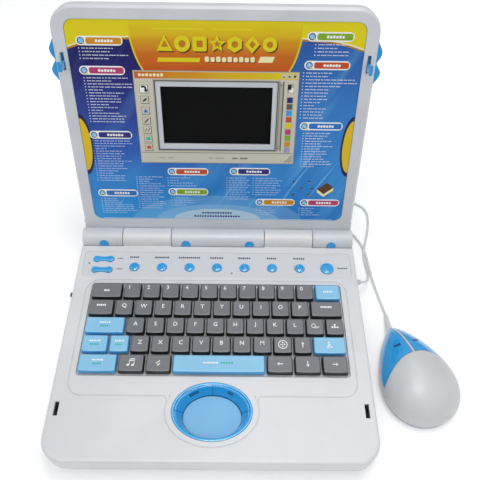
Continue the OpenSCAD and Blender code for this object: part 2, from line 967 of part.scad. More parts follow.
module speaker() {
    color("#3b3d40")
        lid_place()
            translate([speaker_at.x, speaker_at.y, face_z - lid_face_t]) {
                translate([0, 0, -5.5])
                    cylinder(r = 14, h = 5.5);
                translate([0, 0, -7.6])
                    cylinder(r = 7, h = 2.2);
            }
}

// Two humps with a waist between them, for the thumb
function grip_out(u) = 0.8 + (u > 0.5 ? 4.2 : 3.6) * pow(abs(sin(360 * u)), 1.3);

module latch_grip() {
    steps = 32;
    linear_extrude(6)
        polygon(concat(
            [[0, 0]],
            [for (k = [0:steps]) [grip_out(1 - k / steps), grip_l * k / steps]],
            [[0, grip_l]]
        ));
}

module latch() {
    side_x = lid_w / 2;
    color(toy_blue) {
        translate([side_x + slack, latch_t - grip_drop, lid_seam_z - 3])
            latch_grip();
        translate([side_x - 9, latch_t - 3, lid_seam_z + slack])
            cube([9.5, 17, 2.6]);
        translate([latch_x - hook_w / 2, latch_t, lid_seam_z + slack])
            cube([hook_w, hook_l, 4.2 - lid_seam_z - slack]);
        translate([latch_x - hook_w / 2, latch_t, 2.7])
            cube([hook_w, hook_l + hook_foot, 1.5]);
    }
}

module latch_left()
    lid_place()
        mirror([1, 0, 0])
            latch();

module latch_right()
    lid_place()
        latch();

module hinge_plugs() {
    color(toy_blue)
        lid_place()
            intersection() {
                plug_places()
                    translate([0, 0, hinge_r - 3])
                        cylinder(r = plug_r, h = 5);
                rod_x(hinge_r + slack, -base_w / 2, base_w / 2);
            }
}

// ---- Mouse ----

// Half width of the egg-shaped outline at a part of its length
function egg_half(part) = mouse_w / 2 * sqrt(max(0, 1 - pow(2 * pow(part, 1.6) - 1, 2)));

// Height of the shell's ridge at a part of its length
function ridge_z(part) =
    let (front = part < mouse_peak,
         run = front ? 1 - part / mouse_peak : (part - mouse_peak) / (1 - mouse_peak))
    mouse_base_h + (mouse_h - mouse_base_h) * pow(max(0, 1 - pow(run, 2.3)), front ? 0.6 : 0.5);

// Section across the mouse, from one side over the ridge to the other, thinned by inset
function egg_section(part, inset, z0) =
    let (half = max(0.6, egg_half(part) - inset), top = ridge_z(part) - inset, n = 18)
    concat(
        [[half * 0.96, z0]],
        [for (i = [0:n]) [half * cos(180 * i / n),
                          mouse_base_h + (top - mouse_base_h) * sin(180 * i / n)]],
        [[-half * 0.96, z0]]
    );

module mouse_dome(inset, z0) {
    steps = 22;
    first = 0.004 + inset / mouse_l;
    last = 0.996 - inset / mouse_l;
    loft([for (k = [0:steps])
        let (part = first + (last - first) * (1 - cos(180 * k / steps)) / 2)
        [for (p = egg_section(part, inset, z0)) [p[0], -mouse_l * part, p[1]]]]);
}

module mouse_place()
    translate([mouse_nose.x, mouse_nose.y, 0])
        rotate([0, 0, mouse_turn])
            children();

module mouse_outline(inset = 0)
    polygon(concat(
        [for (k = [0:20]) let (p = (1 - cos(9 * k)) / 2)
            [max(0.5, egg_half(p) * 0.96 - inset), -inset - (mouse_l - 2 * inset) * p]],
        [for (k = [20:-1:0]) let (p = (1 - cos(9 * k)) / 2)
            [-max(0.5, egg_half(p) * 0.96 - inset), -inset - (mouse_l - 2 * inset) * p]]
    ));

module mouse_bottom_shell() {
    color("#aeb2b8")
        difference() {
            mouse_place()
                difference() {
                    linear_extrude(mouse_base_h - 1)
                        mouse_outline(0.4);
                    translate([0, 0, 2])
                        linear_extrude(mouse_base_h)
                            mouse_outline(0.4 + mouse_skin);
                }
            relief_shape(slack / 2);
        }
}

function button_edge(x) = -button_front - button_tail * pow(x / 30, 2.2);

// Area of one button seen from above, made smaller by gap
module button_area(side, gap) {
    steps = 12;
    near = split_half + gap;
    far = mouse_w / 2 + 2;
    edge = [for (k = [0:steps]) let (x = near + (far - near) * k / steps) [x, button_edge(x) + gap]];
    polygon([for (p = concat([[near, 4]], edge, [[far, 4]])) [side * p.x, p.y]]);
}

module button_volume(side, gap)
    translate([0, 0, mouse_skirt + gap])
        linear_extrude(mouse_h)
            button_area(side, gap);

module mouse_skin_shell()
    difference() {
        mouse_dome(0, mouse_base_h - 1);
        mouse_dome(mouse_skin, mouse_base_h - 2);
    }

module relief_shape(grow)
    hull() {
        translate(mouse_pivot)
            sphere(relief_r[0] + grow, $fn = 24);
        translate(relief_root)
            sphere(relief_r[1] + grow, $fn = 24);
    }

module mouse_top_shell() {
    color("#cfd1d2")
        difference() {
            mouse_place()
                difference() {
                    mouse_skin_shell();
                    for (side = [-1, 1])
                        translate([0, 0, -mouse_travel])
                            button_volume(side, 0);
                }
            relief_shape(slack / 2);
        }
}

module mouse_button(side)
    color(toy_blue)
        difference() {
            mouse_place()
                intersection() {
                    mouse_skin_shell();
                    button_volume(side, slack);
                }
            relief_shape(mouse_travel + slack);
        }

module mouse_board() {
    color("#2e7d4f")
        mouse_place() {
            translate([-14, -62, 2])
                cube([28, 40, 1.6]);
            for (x = [-9, 9])
                translate([x, -28, 3.6])
                    cylinder(r = 2.5, h = 4);
        }
}

module mouse_strain_relief() {
    color("#c4c7ca")
        relief_shape(0);
}

// ---- Cord ----

function unit(v) = v / norm(v);
function path_direction(path, i) =
    unit(path[min(i + 1, len(path) - 1)] - path[max(i - 1, 0)]);

// Tube of flat sides along a list of points
module tube_along(path, r) {
    loft([for (i = [0:len(path) - 1])
        let (d = path_direction(path, i),
             side = unit(cross(d, [0, 0, 1])),
             up = cross(side, d))
        [for (k = [0:cord_sides - 1])
            let (a = -360 * k / cord_sides)
            path[i] + r * (cos(a) * side + sin(a) * up)]]);
}

module mouse_cord() {
    color("#cfd2d4") {
        tube_along(cord_to_coil, cord_r);
        tube_along(cord_to_mouse, cord_r);
    }
}

module cord_coil() {
    color("#cfd2d4")
        translate([coil_at.x, coil_at.y, 0])
            rotate_extrude()
                translate([coil_r[0], 0])
                    square([coil_r[1] - coil_r[0], coil_h]);
}

module cord_gland() {
    color("#c4c7ca")
        translate([base_w / 2, gland_y, gland_z]) {
            rod_x(3.2, -wall, over / 2);
            rod_x(4, -wall - 2, -wall);
            rotate([0, 90, 0])
                cylinder(r1 = 3.6, r2 = 2.2, h = gland_out);
        }
}

// ---- Key groups and buttons by name ----

module volume_up_button() volume_button(0);
module volume_down_button() volume_button(1);
module mode_button(number) round_button(number - 1, button_r);
module power_button() round_button(button_count, power_r);
module pad_left_button() pad_button(90.4, 179.6);
module pad_right_button() pad_button(0.4, 89.6);
module mouse_left_button() mouse_button(-1);
module mouse_right_button() mouse_button(1);
module escape_key() keys(0, 0, 0, key_grey);
module digit_keys() keys(0, 1, 10, key_grey);
module back_key() keys(0, 11, 11, key_blue);
module level_key() keys(1, 0, 0, key_grey);
module top_letter_keys() keys(1, 1, 10, key_grey);
module enter_key() keys(1, 11, 11, key_grey);
module wide_blue_key() keys(2, 0, 0, key_blue);
module middle_letter_keys() keys(2, 1, 11, key_grey);
module left_blue_keys() {
    keys(3, 0, 1, key_blue);
    keys(4, 0, 0, key_blue);
}
module bottom_dark_keys() {
    keys(3, 2, 9, key_grey);
    keys(4, 1, 2, key_grey);
}
module right_blue_key() keys(3, 11, 11, key_blue);
module space_bar() keys(4, 3, 3, key_blue);
module arrow_keys() {
    keys(3, 10, 10, key_grey);
    keys(4, 4, 6, key_grey);
}

base_bottom_cover();
base_top_cover();
function_overlay();
battery_door();
batteries();
battery_contacts();
rubber_feet();
base_screws();
hinge_pins();
main_board();
keyboard_board();
keyboard_membrane();
switch_housing();
side_switch();
volume_up_button();
volume_down_button();
mode_button(1);  // mode_button_1
mode_button(2);  // mode_button_2
mode_button(3);  // mode_button_3
mode_button(4);  // mode_button_4
mode_button(5);  // mode_button_5
mode_button(6);  // mode_button_6
mode_button(7);  // mode_button_7
power_button();
escape_key();
digit_keys();
back_key();
level_key();
top_letter_keys();
enter_key();
wide_blue_key();
middle_letter_keys();
left_blue_keys();
bottom_dark_keys();
right_blue_key();
space_bar();
arrow_keys();
pad_dish();
touch_disc();
pad_left_button();
pad_right_button();
lid_front_frame();
lid_back_cover();
printed_panel();
screen_window();
lcd_module();
speaker();
latch_left();
latch_right();
hinge_plugs();
lid_screws();
mouse_bottom_shell();
mouse_top_shell();
mouse_left_button();
mouse_right_button();
mouse_board();
mouse_strain_relief();
cord_gland();
mouse_cord();
cord_coil();
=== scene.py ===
"""Looks of the toy laptop and its wired mouse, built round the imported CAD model.

Sizes are written in millimetres in the part's own frame, and MM turns them into Blender's metres.
"""

import math
import random

import bmesh
import bpy
from mathutils import Euler, Matrix, Vector


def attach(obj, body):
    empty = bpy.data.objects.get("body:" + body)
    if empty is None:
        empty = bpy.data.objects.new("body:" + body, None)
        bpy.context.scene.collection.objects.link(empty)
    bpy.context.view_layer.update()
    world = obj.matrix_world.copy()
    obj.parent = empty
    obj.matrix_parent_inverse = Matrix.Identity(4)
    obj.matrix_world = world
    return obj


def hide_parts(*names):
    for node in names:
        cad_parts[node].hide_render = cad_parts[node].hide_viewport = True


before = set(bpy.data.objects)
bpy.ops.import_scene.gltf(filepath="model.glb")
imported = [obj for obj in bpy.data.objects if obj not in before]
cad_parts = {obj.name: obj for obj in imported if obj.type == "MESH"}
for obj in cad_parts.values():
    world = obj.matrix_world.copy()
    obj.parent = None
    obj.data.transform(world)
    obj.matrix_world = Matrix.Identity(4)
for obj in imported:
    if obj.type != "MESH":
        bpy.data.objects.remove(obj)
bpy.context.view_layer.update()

MM = 0.001

# The lid drawn flat: X across, Y up from the hinge axis, Z towards the user
HINGE = Vector((0, 104, 28))
LID_TURN = math.radians(73)
LID = Matrix.Translation(HINGE) @ Matrix.Rotation(LID_TURN, 4, "X")
SHEET_Z = -8.7  # top of the printed sheet
LAYER = 0.03  # thickness of one layer of ink

BASE_H = 28
STRIP_Z = 27.8


# ---- Camera ----


CAMERA_AT = Vector((19.3, -236.7, 480.7))
CAMERA_TURN = (36.837, -0.579, 0.311)  # degrees about X, Y and Z, from looking straight down
CAMERA_LENS = 42.25


def add_object(name, data):
    """A new object in the scene."""
    made = bpy.data.objects.new(name, data)
    bpy.context.scene.collection.objects.link(made)
    return made


def add_camera():
    """A pinhole camera above the user, looking down at the keyboard and the lid."""
    data = bpy.data.cameras.new("camera")
    data.lens = CAMERA_LENS
    data.sensor_width = 36
    data.clip_start = 0.01
    camera = add_object("camera", data)
    turn = Euler([math.radians(angle) for angle in CAMERA_TURN])
    camera.matrix_world = Matrix.Translation(CAMERA_AT * MM) @ turn.to_matrix().to_4x4()
    bpy.context.scene.camera = camera


add_camera()


# ---- Materials ----

DOT_PITCH = 0.3
PRINT_GLOSS = {"Specular_IOR_Level": 0.3, "Coat_Weight": 0.1, "Coat_Roughness": 0.15}
STREAK_SLOPE = 0.62

# Colours of the printed sheet, from its foot to its top
SHEET_LEFT = [
    (0.0, "#2f9be0"), (0.22, "#2585d0"), (0.42, "#1d55b0"), (0.62, "#1b2c86"), (0.82, "#170f60"),
    (1.0, "#10074a"),
]
SHEET_RIGHT = [
    (0.0, "#2a7cc6"), (0.3, "#2a86cf"), (0.55, "#2a7cc6"), (0.8, "#2a6ab4"), (1.0, "#294c9e"),
]
SHIELD_STOPS = [
    (0.0, "#c0500c"), (0.3, "#c4640d"), (0.55, "#cc8d12"), (0.78, "#d8b813"), (1.0, "#dccc12"),
]
TITLE_BAR_STOPS = [(0.0, "#c9581a"), (0.3, "#d08c14"), (0.65, "#d8b213"), (1.0, "#dcc617")]


def linear(colour):
    """A '#rrggbb' colour as linear red, green, blue and alpha."""
    parts = [int(colour[i : i + 2], 16) / 255 for i in (1, 3, 5)]
    return tuple(p / 12.92 if p <= 0.04045 else ((p + 0.055) / 1.055) ** 2.4 for p in parts) + (1.0,)


def shaded(colour, factor):
    """A '#rrggbb' colour made darker or lighter, as linear red, green, blue and alpha."""
    return tuple(min(1, part * factor) for part in linear(colour)[:3]) + (1.0,)


class Paint:
    """A material and short ways to add nodes to it. A colour may be given as '#rrggbb'."""

    def __init__(self, name, roughness, **constants):
        self.material = bpy.data.materials.new(name)
        self.material.use_nodes = True
        self.tree = self.material.node_tree
        self.shader = self.tree.nodes["Principled BSDF"]
        self.shader.inputs["Roughness"].default_value = roughness
        for socket, value in constants.items():
            self.shader.inputs[socket.replace("_", " ")].default_value = value

    def feed(self, socket, value):
        if isinstance(value, bpy.types.NodeSocket):
            self.tree.links.new(value, socket)
        else:
            socket.default_value = linear(value) if isinstance(value, str) else value

    def node(self, kind, inputs=(), **settings):
        made = self.tree.nodes.new("ShaderNode" + kind)
        for name, value in settings.items():
            setattr(made, name, value)
        for socket, value in dict(inputs).items():
            self.feed(made.inputs[socket], value)
        return made

    def math(self, operation, a, b):
        return self.node("Math", {0: a, 1: b}, operation=operation).outputs[0]

    def position(self):
        return self.node("TexCoord").outputs["Object"]

    def texture(self, kind, inputs, **settings):
        """A texture laid by the object's own coordinates."""
        return self.node("Tex" + kind, {"Vector": self.position(), **inputs}, **settings)

    def noise(self, scale, detail=2.0):
        return self.texture("Noise", {"Scale": scale, "Detail": detail}).outputs["Fac"]

    def ramp(self, value, stops):
        """Colours along a value, each stop a place and a colour."""
        made = self.node("ValToRGB", {"Fac": value})
        made.color_ramp.interpolation = "EASE"
        points = made.color_ramp.elements
        while len(points) < len(stops):
            points.new(0.5)
        for point, (place, colour) in zip(points, stops):
            point.position = place
            point.color = linear(colour) if isinstance(colour, str) else colour
        return made.outputs["Color"]

    def range(self, value, low, high, out_low=0.0, out_high=1.0):
        ends = {"From Min": low, "From Max": high, "To Min": out_low, "To Max": out_high}
        return self.node("MapRange", {"Value": value, **ends}).outputs["Result"]

    def mix(self, factor, a, b):
        return self.node("Mix", {"Factor": factor, 6: a, 7: b}, data_type="RGBA").outputs[2]

    def dot_screen(self, most):
        """Printing dots, their cover going up to most."""
        dots = self.texture("Voronoi", {"Scale": 1 / (DOT_PITCH * MM)})
        return self.range(dots.outputs["Distance"], 0.2, 0.7, 0.0, most)

    def colour(self, value):
        self.feed(self.shader.inputs["Base Color"], value)

    def gloss(self, value, low, high):
        """Roughness from low to high, as the noise in value rises."""
        self.feed(self.shader.inputs["Roughness"], self.range(value, 0.3, 0.7, low, high))

    def bump(self, height, strength, distance, edge=0.0):
        """Raises the surface by height; edge is the radius that its sharp edges are softened to."""
        made = self.node("Bump", {"Height": height, "Strength": strength, "Distance": distance})
        if edge:
            soft = self.node("Bevel", {"Radius": edge * MM}, samples=6)
            self.feed(made.inputs["Normal"], soft.outputs["Normal"])
        self.feed(self.shader.inputs["Normal"], made.outputs["Normal"])


def moulded(name, colour, roughness, grain_mm=0.35, grain=0.12, tint=0.05, edge=0.0, **constants):
    """Injection-moulded plastic: fine spark grain, faint flow marks and uneven gloss."""
    paint = Paint(name, roughness, **constants)
    fine = paint.noise(1 / (grain_mm * MM), detail=3)
    broad = paint.noise(22, detail=3)
    dark = shaded(colour, 1 - tint)
    light = shaded(colour, 1 + tint * 0.6)
    cloud = paint.ramp(broad, [(0.3, dark), (0.7, light)])
    paint.colour(paint.mix(paint.range(fine, 0.25, 0.75, 0.0, tint), cloud, dark))
    paint.gloss(broad, roughness - 0.05, roughness + 0.05)
    paint.bump(fine, grain, 0.05 * MM, edge)
    return paint.material


def ink(name, colour):
    """Printed ink under a clear film: a faint dot screen and slightly uneven cover."""
    paint = Paint(name, 0.32, Specular_IOR_Level=0.3, Coat_Weight=0.1, Coat_Roughness=0.2)
    cover = paint.noise(90)
    worn = paint.range(cover, 0.35, 0.7, 0.0, 0.4)
    uneven = paint.math("MAXIMUM", paint.dot_screen(0.35), worn)
    paint.colour(paint.mix(uneven, colour, shaded(colour, 0.9)))
    paint.bump(cover, 0.05, 0.03 * MM)
    return paint.material


def rubbery(name, colour, roughness=0.75):
    """Matt rubber with a gritty surface."""
    paint = Paint(name, roughness, Sheen_Weight=0.15)
    grit = paint.noise(1 / (0.6 * MM), detail=4)
    paint.colour(paint.mix(paint.range(grit, 0.3, 0.7), shaded(colour, 0.8), colour))
    paint.bump(grit, 0.25, 0.08 * MM, 0.3)
    return paint.material


def metal(name, colour):
    """Zinc-plated steel with fine turning marks and a mottled plating."""
    paint = Paint(name, 0.32, Metallic=1.0)
    stretch = paint.node("Mapping", {"Vector": paint.position(), "Scale": (1.0, 1.0, 30.0)})
    marks = paint.texture("Noise", {"Vector": stretch.outputs[0], "Scale": 600, "Detail": 2})
    lines = marks.outputs["Fac"]
    patches = paint.noise(180, detail=3)
    paint.colour(paint.mix(paint.range(patches, 0.35, 0.65), shaded(colour, 0.82), colour))
    paint.gloss(lines, 0.24, 0.42)
    paint.bump(lines, 0.15, 0.02 * MM, 0.15)
    return paint.material


def circuit_board(name):
    """Green solder mask over copper tracks."""
    paint = Paint(name, 0.35, Coat_Weight=0.3)
    colours = {"Color1": "#2c7a4c", "Color2": "#2f8452", "Mortar": "#246a41"}
    tracks = paint.texture("Brick", {**colours, "Scale": 180.0, "Mortar Size": 0.06})
    cloud = paint.range(paint.noise(60), 0.3, 0.7, 0, 0.3)
    paint.colour(paint.mix(cloud, tracks.outputs["Color"], "#215f3b"))
    paint.bump(tracks.outputs["Fac"], 0.3, 0.05 * MM, 0.2)
    return paint.material


def cell_sleeve(name):
    """Printed sleeve of a dry cell: a green body with a pale band round one end."""
    paint = Paint(name, 0.3, Coat_Weight=0.4, Metallic=0.2)
    bands = paint.texture("Wave", {"Scale": 9.0, "Distortion": 0.3}, bands_direction="X")
    stops = [(0.0, "#2f7d4b"), (0.72, "#3f9a5c"), (0.8, "#d9d6c4"), (1.0, "#e6e2d0")]
    paint.colour(paint.ramp(bands.outputs["Fac"], stops))
    paint.bump(paint.noise(300), 0.08, 0.03 * MM, 0.3)
    return paint.material


def grained_film(name, colour):
    """Label film of the function strip: a fine diamond grain."""
    paint = Paint(name, 0.45)
    here = paint.position()
    waves = []
    for turn in (32, -32):
        mapped = paint.node("Mapping", {"Vector": here, "Rotation": (0, 0, math.radians(turn))})
        inputs = {"Vector": mapped.outputs[0], "Scale": 190.0, "Distortion": 0.4}
        waves.append(paint.node("TexWave", inputs, bands_direction="X").outputs["Fac"])
    height = paint.math("MULTIPLY", *waves)
    paint.colour(paint.mix(paint.range(height, 0.0, 0.8), shaded(colour, 0.8), colour))
    paint.bump(height, 0.35, 0.08 * MM, 0.2)
    return paint.material


def lid_flat(paint):
    """Across and up in millimetres on the flat lid, from the object's own coordinates."""
    here = paint.position()
    apart = paint.node("SeparateXYZ", {"Vector": here})
    across = paint.math("DIVIDE", apart.outputs["X"], MM)
    along = (LID.to_3x3() @ Vector((0, 1, 0))) / MM
    dot = paint.node("VectorMath", {0: here, 1: tuple(along)}, operation="DOT_PRODUCT")
    up = paint.math("SUBTRACT", dot.outputs["Value"], HINGE.dot(along) * MM)
    return across, up


def streaks(paint, across, up, width, low, high):
    """Soft rays that lean to the right, as one value."""
    lean = paint.math("SUBTRACT", across, paint.math("MULTIPLY", up, STREAK_SLOPE))
    along = paint.math("ADD", up, paint.math("MULTIPLY", across, STREAK_SLOPE))
    x = paint.math("MULTIPLY", lean, 1 / width)
    y = paint.math("MULTIPLY", along, 0.006)
    where = paint.node("CombineXYZ", {"X": x, "Y": y})
    rays = paint.node("TexNoise", {"Vector": where.outputs[0], "Scale": 1.0, "Detail": 3})
    return paint.range(rays.outputs["Fac"], low, high)


def ellipse_cover(paint, across, up, centre, radii, soft):
    """1 inside an ellipse on the lid and 0 outside it."""
    x = paint.math("DIVIDE", paint.math("SUBTRACT", across, centre[0]), radii[0])
    y = paint.math("DIVIDE", paint.math("SUBTRACT", up, centre[1]), radii[1])
    reach = paint.math("ADD", paint.math("MULTIPLY", x, x), paint.math("MULTIPLY", y, y))
    return paint.range(reach, 1 + soft, 1 - soft)


def printed_sheet(name):
    """The panel's printed ground: navy to light blue, with rays of light and pale arcs."""
    paint = Paint(name, 0.3, **PRINT_GLOSS)
    across, up = lid_flat(paint)
    height = paint.range(up, 17, 209)
    left = paint.ramp(height, SHEET_LEFT)
    right = paint.ramp(height, SHEET_RIGHT)
    ground = paint.mix(paint.range(across, -40, 95), left, right)
    stronger = paint.range(across, -110, 110, 0.12, 0.7)
    rays = paint.math("MULTIPLY", streaks(paint, across, up, 26, 0.5, 0.78), stronger)
    ground = paint.mix(rays, ground, "#6fb9ea")
    dim = paint.math("MULTIPLY", streaks(paint, across, up, 40, 0.52, 0.75), 0.35)
    ground = paint.mix(dim, ground, "#1d3f94")
    for radii, cover in (((84, 30), 0.24), ((62, 20), 0.38)):
        arc = ellipse_cover(paint, across, up, (-1, 15), radii, 0.02)
        ground = paint.mix(paint.math("MULTIPLY", arc, cover), ground, "#9fd0ee")
    paint.colour(paint.mix(paint.dot_screen(0.12), ground, "#12205a"))
    paint.bump(paint.noise(120), 0.05, 0.04 * MM)
    return paint.material


def blended_ink(name, axis, low, high, stops, speckle):
    """Ink that changes colour across the lid (axis 0) or up the lid (axis 1)."""
    paint = Paint(name, 0.3, **PRINT_GLOSS)
    blend = paint.ramp(paint.range(lid_flat(paint)[axis], low, high), stops)
    grain = paint.range(paint.noise(2500), 0.3, 0.7, 0.0, 0.12)
    paint.colour(paint.mix(grain, blend, speckle))
    paint.bump(paint.noise(120), 0.05, 0.04 * MM)
    return paint.material


def clear_window(name):
    """Dark clear plastic with a faint haze."""
    paint = Paint(name, 0.22, IOR=1.45, Alpha=0.35, Specular_IOR_Level=0.2)
    haze = paint.noise(140, detail=3)
    paint.colour(paint.mix(paint.range(haze, 0.3, 0.7), "#050506", "#0a0b0d"))
    paint.gloss(haze, 0.18, 0.28)
    return paint.material


def dark_display(name):
    """Black LCD glass with a hardly visible grid of cells."""
    paint = Paint(name, 0.4, Specular_IOR_Level=0.1)
    colours = {"Color1": "#040405", "Color2": "#060607", "Mortar": "#0b0b0d"}
    cells = paint.texture("Brick", {**colours, "Scale": 900.0})
    paint.colour(cells.outputs["Color"])
    paint.bump(cells.outputs["Fac"], 0.05, 0.02 * MM)
    return paint.material


MATERIALS = {
    "base": moulded("base_plastic", "#d3d4d6", 0.42, edge=0.5),
    # Darker grey than the top cover as painted shade for the bottom shell's edge, which faces down and away
    # from the light
    "under": moulded("under_plastic_painted_shade", "#b8bbc0", 0.5, edge=0.4),
    # Likely the same plastic as the base, coloured darker as painted shade for the lid's face, which is
    # turned away from the overhead light
    "lid": moulded("lid_plastic_painted_shade", "#c9ccd1", 0.4, edge=0.6),
    "film": grained_film("strip_film", "#dadcdf"),
    "blue": moulded("blue_gloss", "#1a98da", 0.12, grain=0.02, tint=0.03, edge=0.25, Coat_Weight=0.8),
    # Paler blue on the rounded rims of the pad and the buttons: a painted highlight
    "blue_rim_highlight": moulded("blue_rim_highlight_gloss", "#4fb2e8", 0.14, grain=0.02, tint=0.03),
    "touch": moulded("touch_satin", "#70b1d9", 0.5, grain_mm=0.5, grain=0.2),
    "key_top": moulded("key_top_grey", "#6c6e73", 0.45, grain_mm=0.3, grain=0.2),
    "key_side": moulded("key_side_black", "#212227", 0.4, grain=0.1),
    "blue_key": moulded("blue_key_top", "#82bedf", 0.42, grain_mm=0.3, grain=0.15),
    "blue_key_side": moulded("blue_key_side", "#4fa6dc", 0.4, grain=0.1),
    "black": moulded("switch_black", "#26272a", 0.45, edge=0.2),
    "sheet": printed_sheet("sheet_print"),
    "window": clear_window("screen_clear"),
    "display": dark_display("display_black"),
    "speaker": moulded("speaker_black", "#15161a", 0.4, edge=0.3),
    "board": circuit_board("board_green"),
    "silicone": rubbery("mat_silicone", "#c6cace", 0.5),
    "steel": metal("zinc_steel", "#b4b6ba"),
    "cell": cell_sleeve("cell_print"),
    "foot": rubbery("foot_rubber", "#3b3c3e"),
    "mouse": moulded("mouse_white", "#c6c7c8", 0.4, grain=0.03),
    "mouse_base": moulded("mouse_grey", "#a9adb3", 0.4, edge=0.3),
    "cord": moulded("cord_vinyl", "#cdcfd0", 0.4, grain=0.08),
}
INK = {
    name: ink("ink_" + name, colour)
    for name, colour in {
        "white": "#eef0ee",
        "cream": "#ece4ae",
        "yellow": "#dccc10",
        "amber": "#b9780c",
        "gold": "#dab80c",
        "orange": "#cf8a12",
        "red": "#c0481a",
        "magenta": "#b53a6b",
        "green": "#7fa51c",
        "teal": "#35b3a6",
        "navy": "#241f72",
        "deep": "#180f4a",
        "blue": "#1f6dbc",
        "sky": "#2e9bdd",
        "pale": "#b5cfe2",
        "beige": "#c8c4b3",
        "sand": "#aaa694",
        "olive": "#55574a",
        "black": "#141416",
        "lilac": "#9a98b8",
        "brown": "#5a3218",
        "mark": "#3c3e42",
        "ray": "#6db3e3",
        "print": "#d9deee",
        "ice": "#b9cbec",
        "ring": "#20305c",
        "lens": "#8fc4ea",
        "rust": "#8e3d14",
    }.items()
}
INK["shield"] = blended_ink("ink_shield", 1, 168, 209, SHIELD_STOPS, "#a8700c")
INK["title_bar"] = blended_ink("ink_title_bar", 0, -70, 70, TITLE_BAR_STOPS, "#8a5a10")


# ---- Mesh building ----


class Shape:
    """Points and faces of one mesh, gathered in millimetres, each face with its material."""

    def __init__(self, place=Matrix()):
        self.place = place
        self.points = []
        self.faces = []
        self.paints = []
        self.materials = []

    def paint_index(self, material):
        if material not in self.materials:
            self.materials.append(material)
        return self.materials.index(material)

    def add(self, points, faces, material):
        start = len(self.points)
        index = self.paint_index(material)
        self.points.extend(self.place @ Vector(p) for p in points)
        self.faces.extend([start + i for i in face] for face in faces)
        self.paints.extend([index] * len(faces))

    def prism(self, outline, z0, z1, material):
        """Closed solid over a flat outline."""
        n = len(outline)
        sides = [[i, (i + 1) % n, n + (i + 1) % n, n + i] for i in range(n)]
        ends = [list(range(n - 1, -1, -1)), list(range(n, 2 * n))]
        self.add(level(outline, z0) + level(outline, z1), sides + ends, material)

    def loft(self, rings, materials, closed=False):
        """Solid through rings of points. materials holds one material, or one for each band."""
        n = len(rings[0])
        if not isinstance(materials, list):
            materials = [materials] * (len(rings) if closed else len(rings) - 1)
        start = len(self.points)
        self.add([point for ring in rings for point in ring], [], materials[0])
        for band, material in enumerate(materials):
            low = band * n
            high = (band + 1) % len(rings) * n
            faces = [[low + i, low + (i + 1) % n, high + (i + 1) % n, high + i] for i in range(n)]
            self.extend(start, faces, material)
        if not closed:
            last = (len(rings) - 1) * n
            self.extend(start, [list(range(n - 1, -1, -1))], materials[0])
            self.extend(start, [list(range(last, last + n))], materials[-1])

    def extend(self, start, faces, material):
        """More faces over points that are already there."""
        index = self.paint_index(material)
        self.faces.extend([start + i for i in face] for face in faces)
        self.paints.extend([index] * len(faces))

    def turned(self, profile, centre, materials, segments):
        """Solid of revolution about a vertical axis; the profile runs from foot to top."""
        rings = [level(ellipse(*centre, r, r, segments), z) for r, z in profile]
        self.loft(rings, materials)

    def build(self, name, body, slot, smooth_angle=35, bevel=0.0, replaces=()):
        mesh = bpy.data.meshes.new(name)
        mesh.from_pydata([p * MM for p in self.points], [], self.faces)
        for material in self.materials:
            mesh.materials.append(material)
        mesh.polygons.foreach_set("material_index", self.paints)
        work = bmesh.new()
        work.from_mesh(mesh)
        bmesh.ops.recalc_face_normals(work, faces=work.faces)
        work.to_mesh(mesh)
        work.free()
        made = add_object(name, mesh)
        finish_piece(made, body, smooth_angle, bevel, replaces)
        return made


def finish_piece(made, body, smooth_angle=35, bevel=0.0, replaces=()):
    """Rounds and smooths a piece's edges, ties it to its body and hides the CAD nodes it replaces."""
    if bevel:
        rounding = made.modifiers.new("rounding", "BEVEL")
        rounding.width = bevel * MM
        rounding.segments = 2
        rounding.limit_method = "ANGLE"
        rounding.angle_limit = math.radians(smooth_angle)
    mesh = made.data
    mesh.shade_smooth()
    mesh.set_sharp_from_angle(angle=math.radians(smooth_angle))
    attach(made, body)
    if replaces:
        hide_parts(*replaces)


def level(outline, z):
    """A flat outline's points at one height."""
    return [(x, y, z) for x, y in outline]


def rect(x0, x1, y0, y1):
    return [(x0, y0), (x1, y0), (x1, y1), (x0, y1)]


def rounded(x0, x1, y0, y1, r, steps=5):
    """Rectangle with round corners, anticlockwise."""
    r = min(r, (x1 - x0) / 2, (y1 - y0) / 2)
    corners = ((x1 - r, y1 - r, 0), (x0 + r, y1 - r, 90), (x0 + r, y0 + r, 180), (x1 - r, y0 + r, 270))
    return [p for cx, cy, turn in corners for p in ellipse(cx, cy, r, r, steps, turn, turn + 90)]


def ellipse(cx, cy, rx, ry, steps, start=0.0, end=360.0):
    """Ellipse, or its arc from start to end in degrees."""
    count = steps if end - start >= 360 else steps + 1
    turns = [math.radians(start + (end - start) * i / steps) for i in range(count)]
    return [(cx + rx * math.cos(turn), cy + ry * math.sin(turn)) for turn in turns]


def oval_rings(centre, radii, profile, steps):
    """Level ellipses, one for each inset from the radii and height of a profile."""
    return [
        level(ellipse(*centre, radii[0] - inset, radii[1] - inset, steps), z) for inset, z in profile
    ]


def turned_outline(outline, centre, degrees):
    """An outline turned anticlockwise about a point."""
    c, s = math.cos(math.radians(degrees)), math.sin(math.radians(degrees))
    arms = [(x - centre[0], y - centre[1]) for x, y in outline]
    return [(centre[0] + x * c - y * s, centre[1] + x * s + y * c) for x, y in arms]


def smooth_path(points, steps):
    """Catmull-Rom curve through points of any dimension."""
    vectors = [Vector(p) for p in points]
    ends = [2 * vectors[0] - vectors[1]] + vectors + [2 * vectors[-1] - vectors[-2]]
    path = []
    for i in range(1, len(ends) - 2):
        a, b, c, d = ends[i - 1 : i + 3]
        slope, bend, twist = c - a, 2 * a - 5 * b + 4 * c - d, 3 * b - a - 3 * c + d
        for k in range(steps):
            t = k / steps
            path.append(0.5 * (2 * b + slope * t + bend * t * t + twist * t**3))
    return path + [vectors[-1]]


# ---- Cord ----

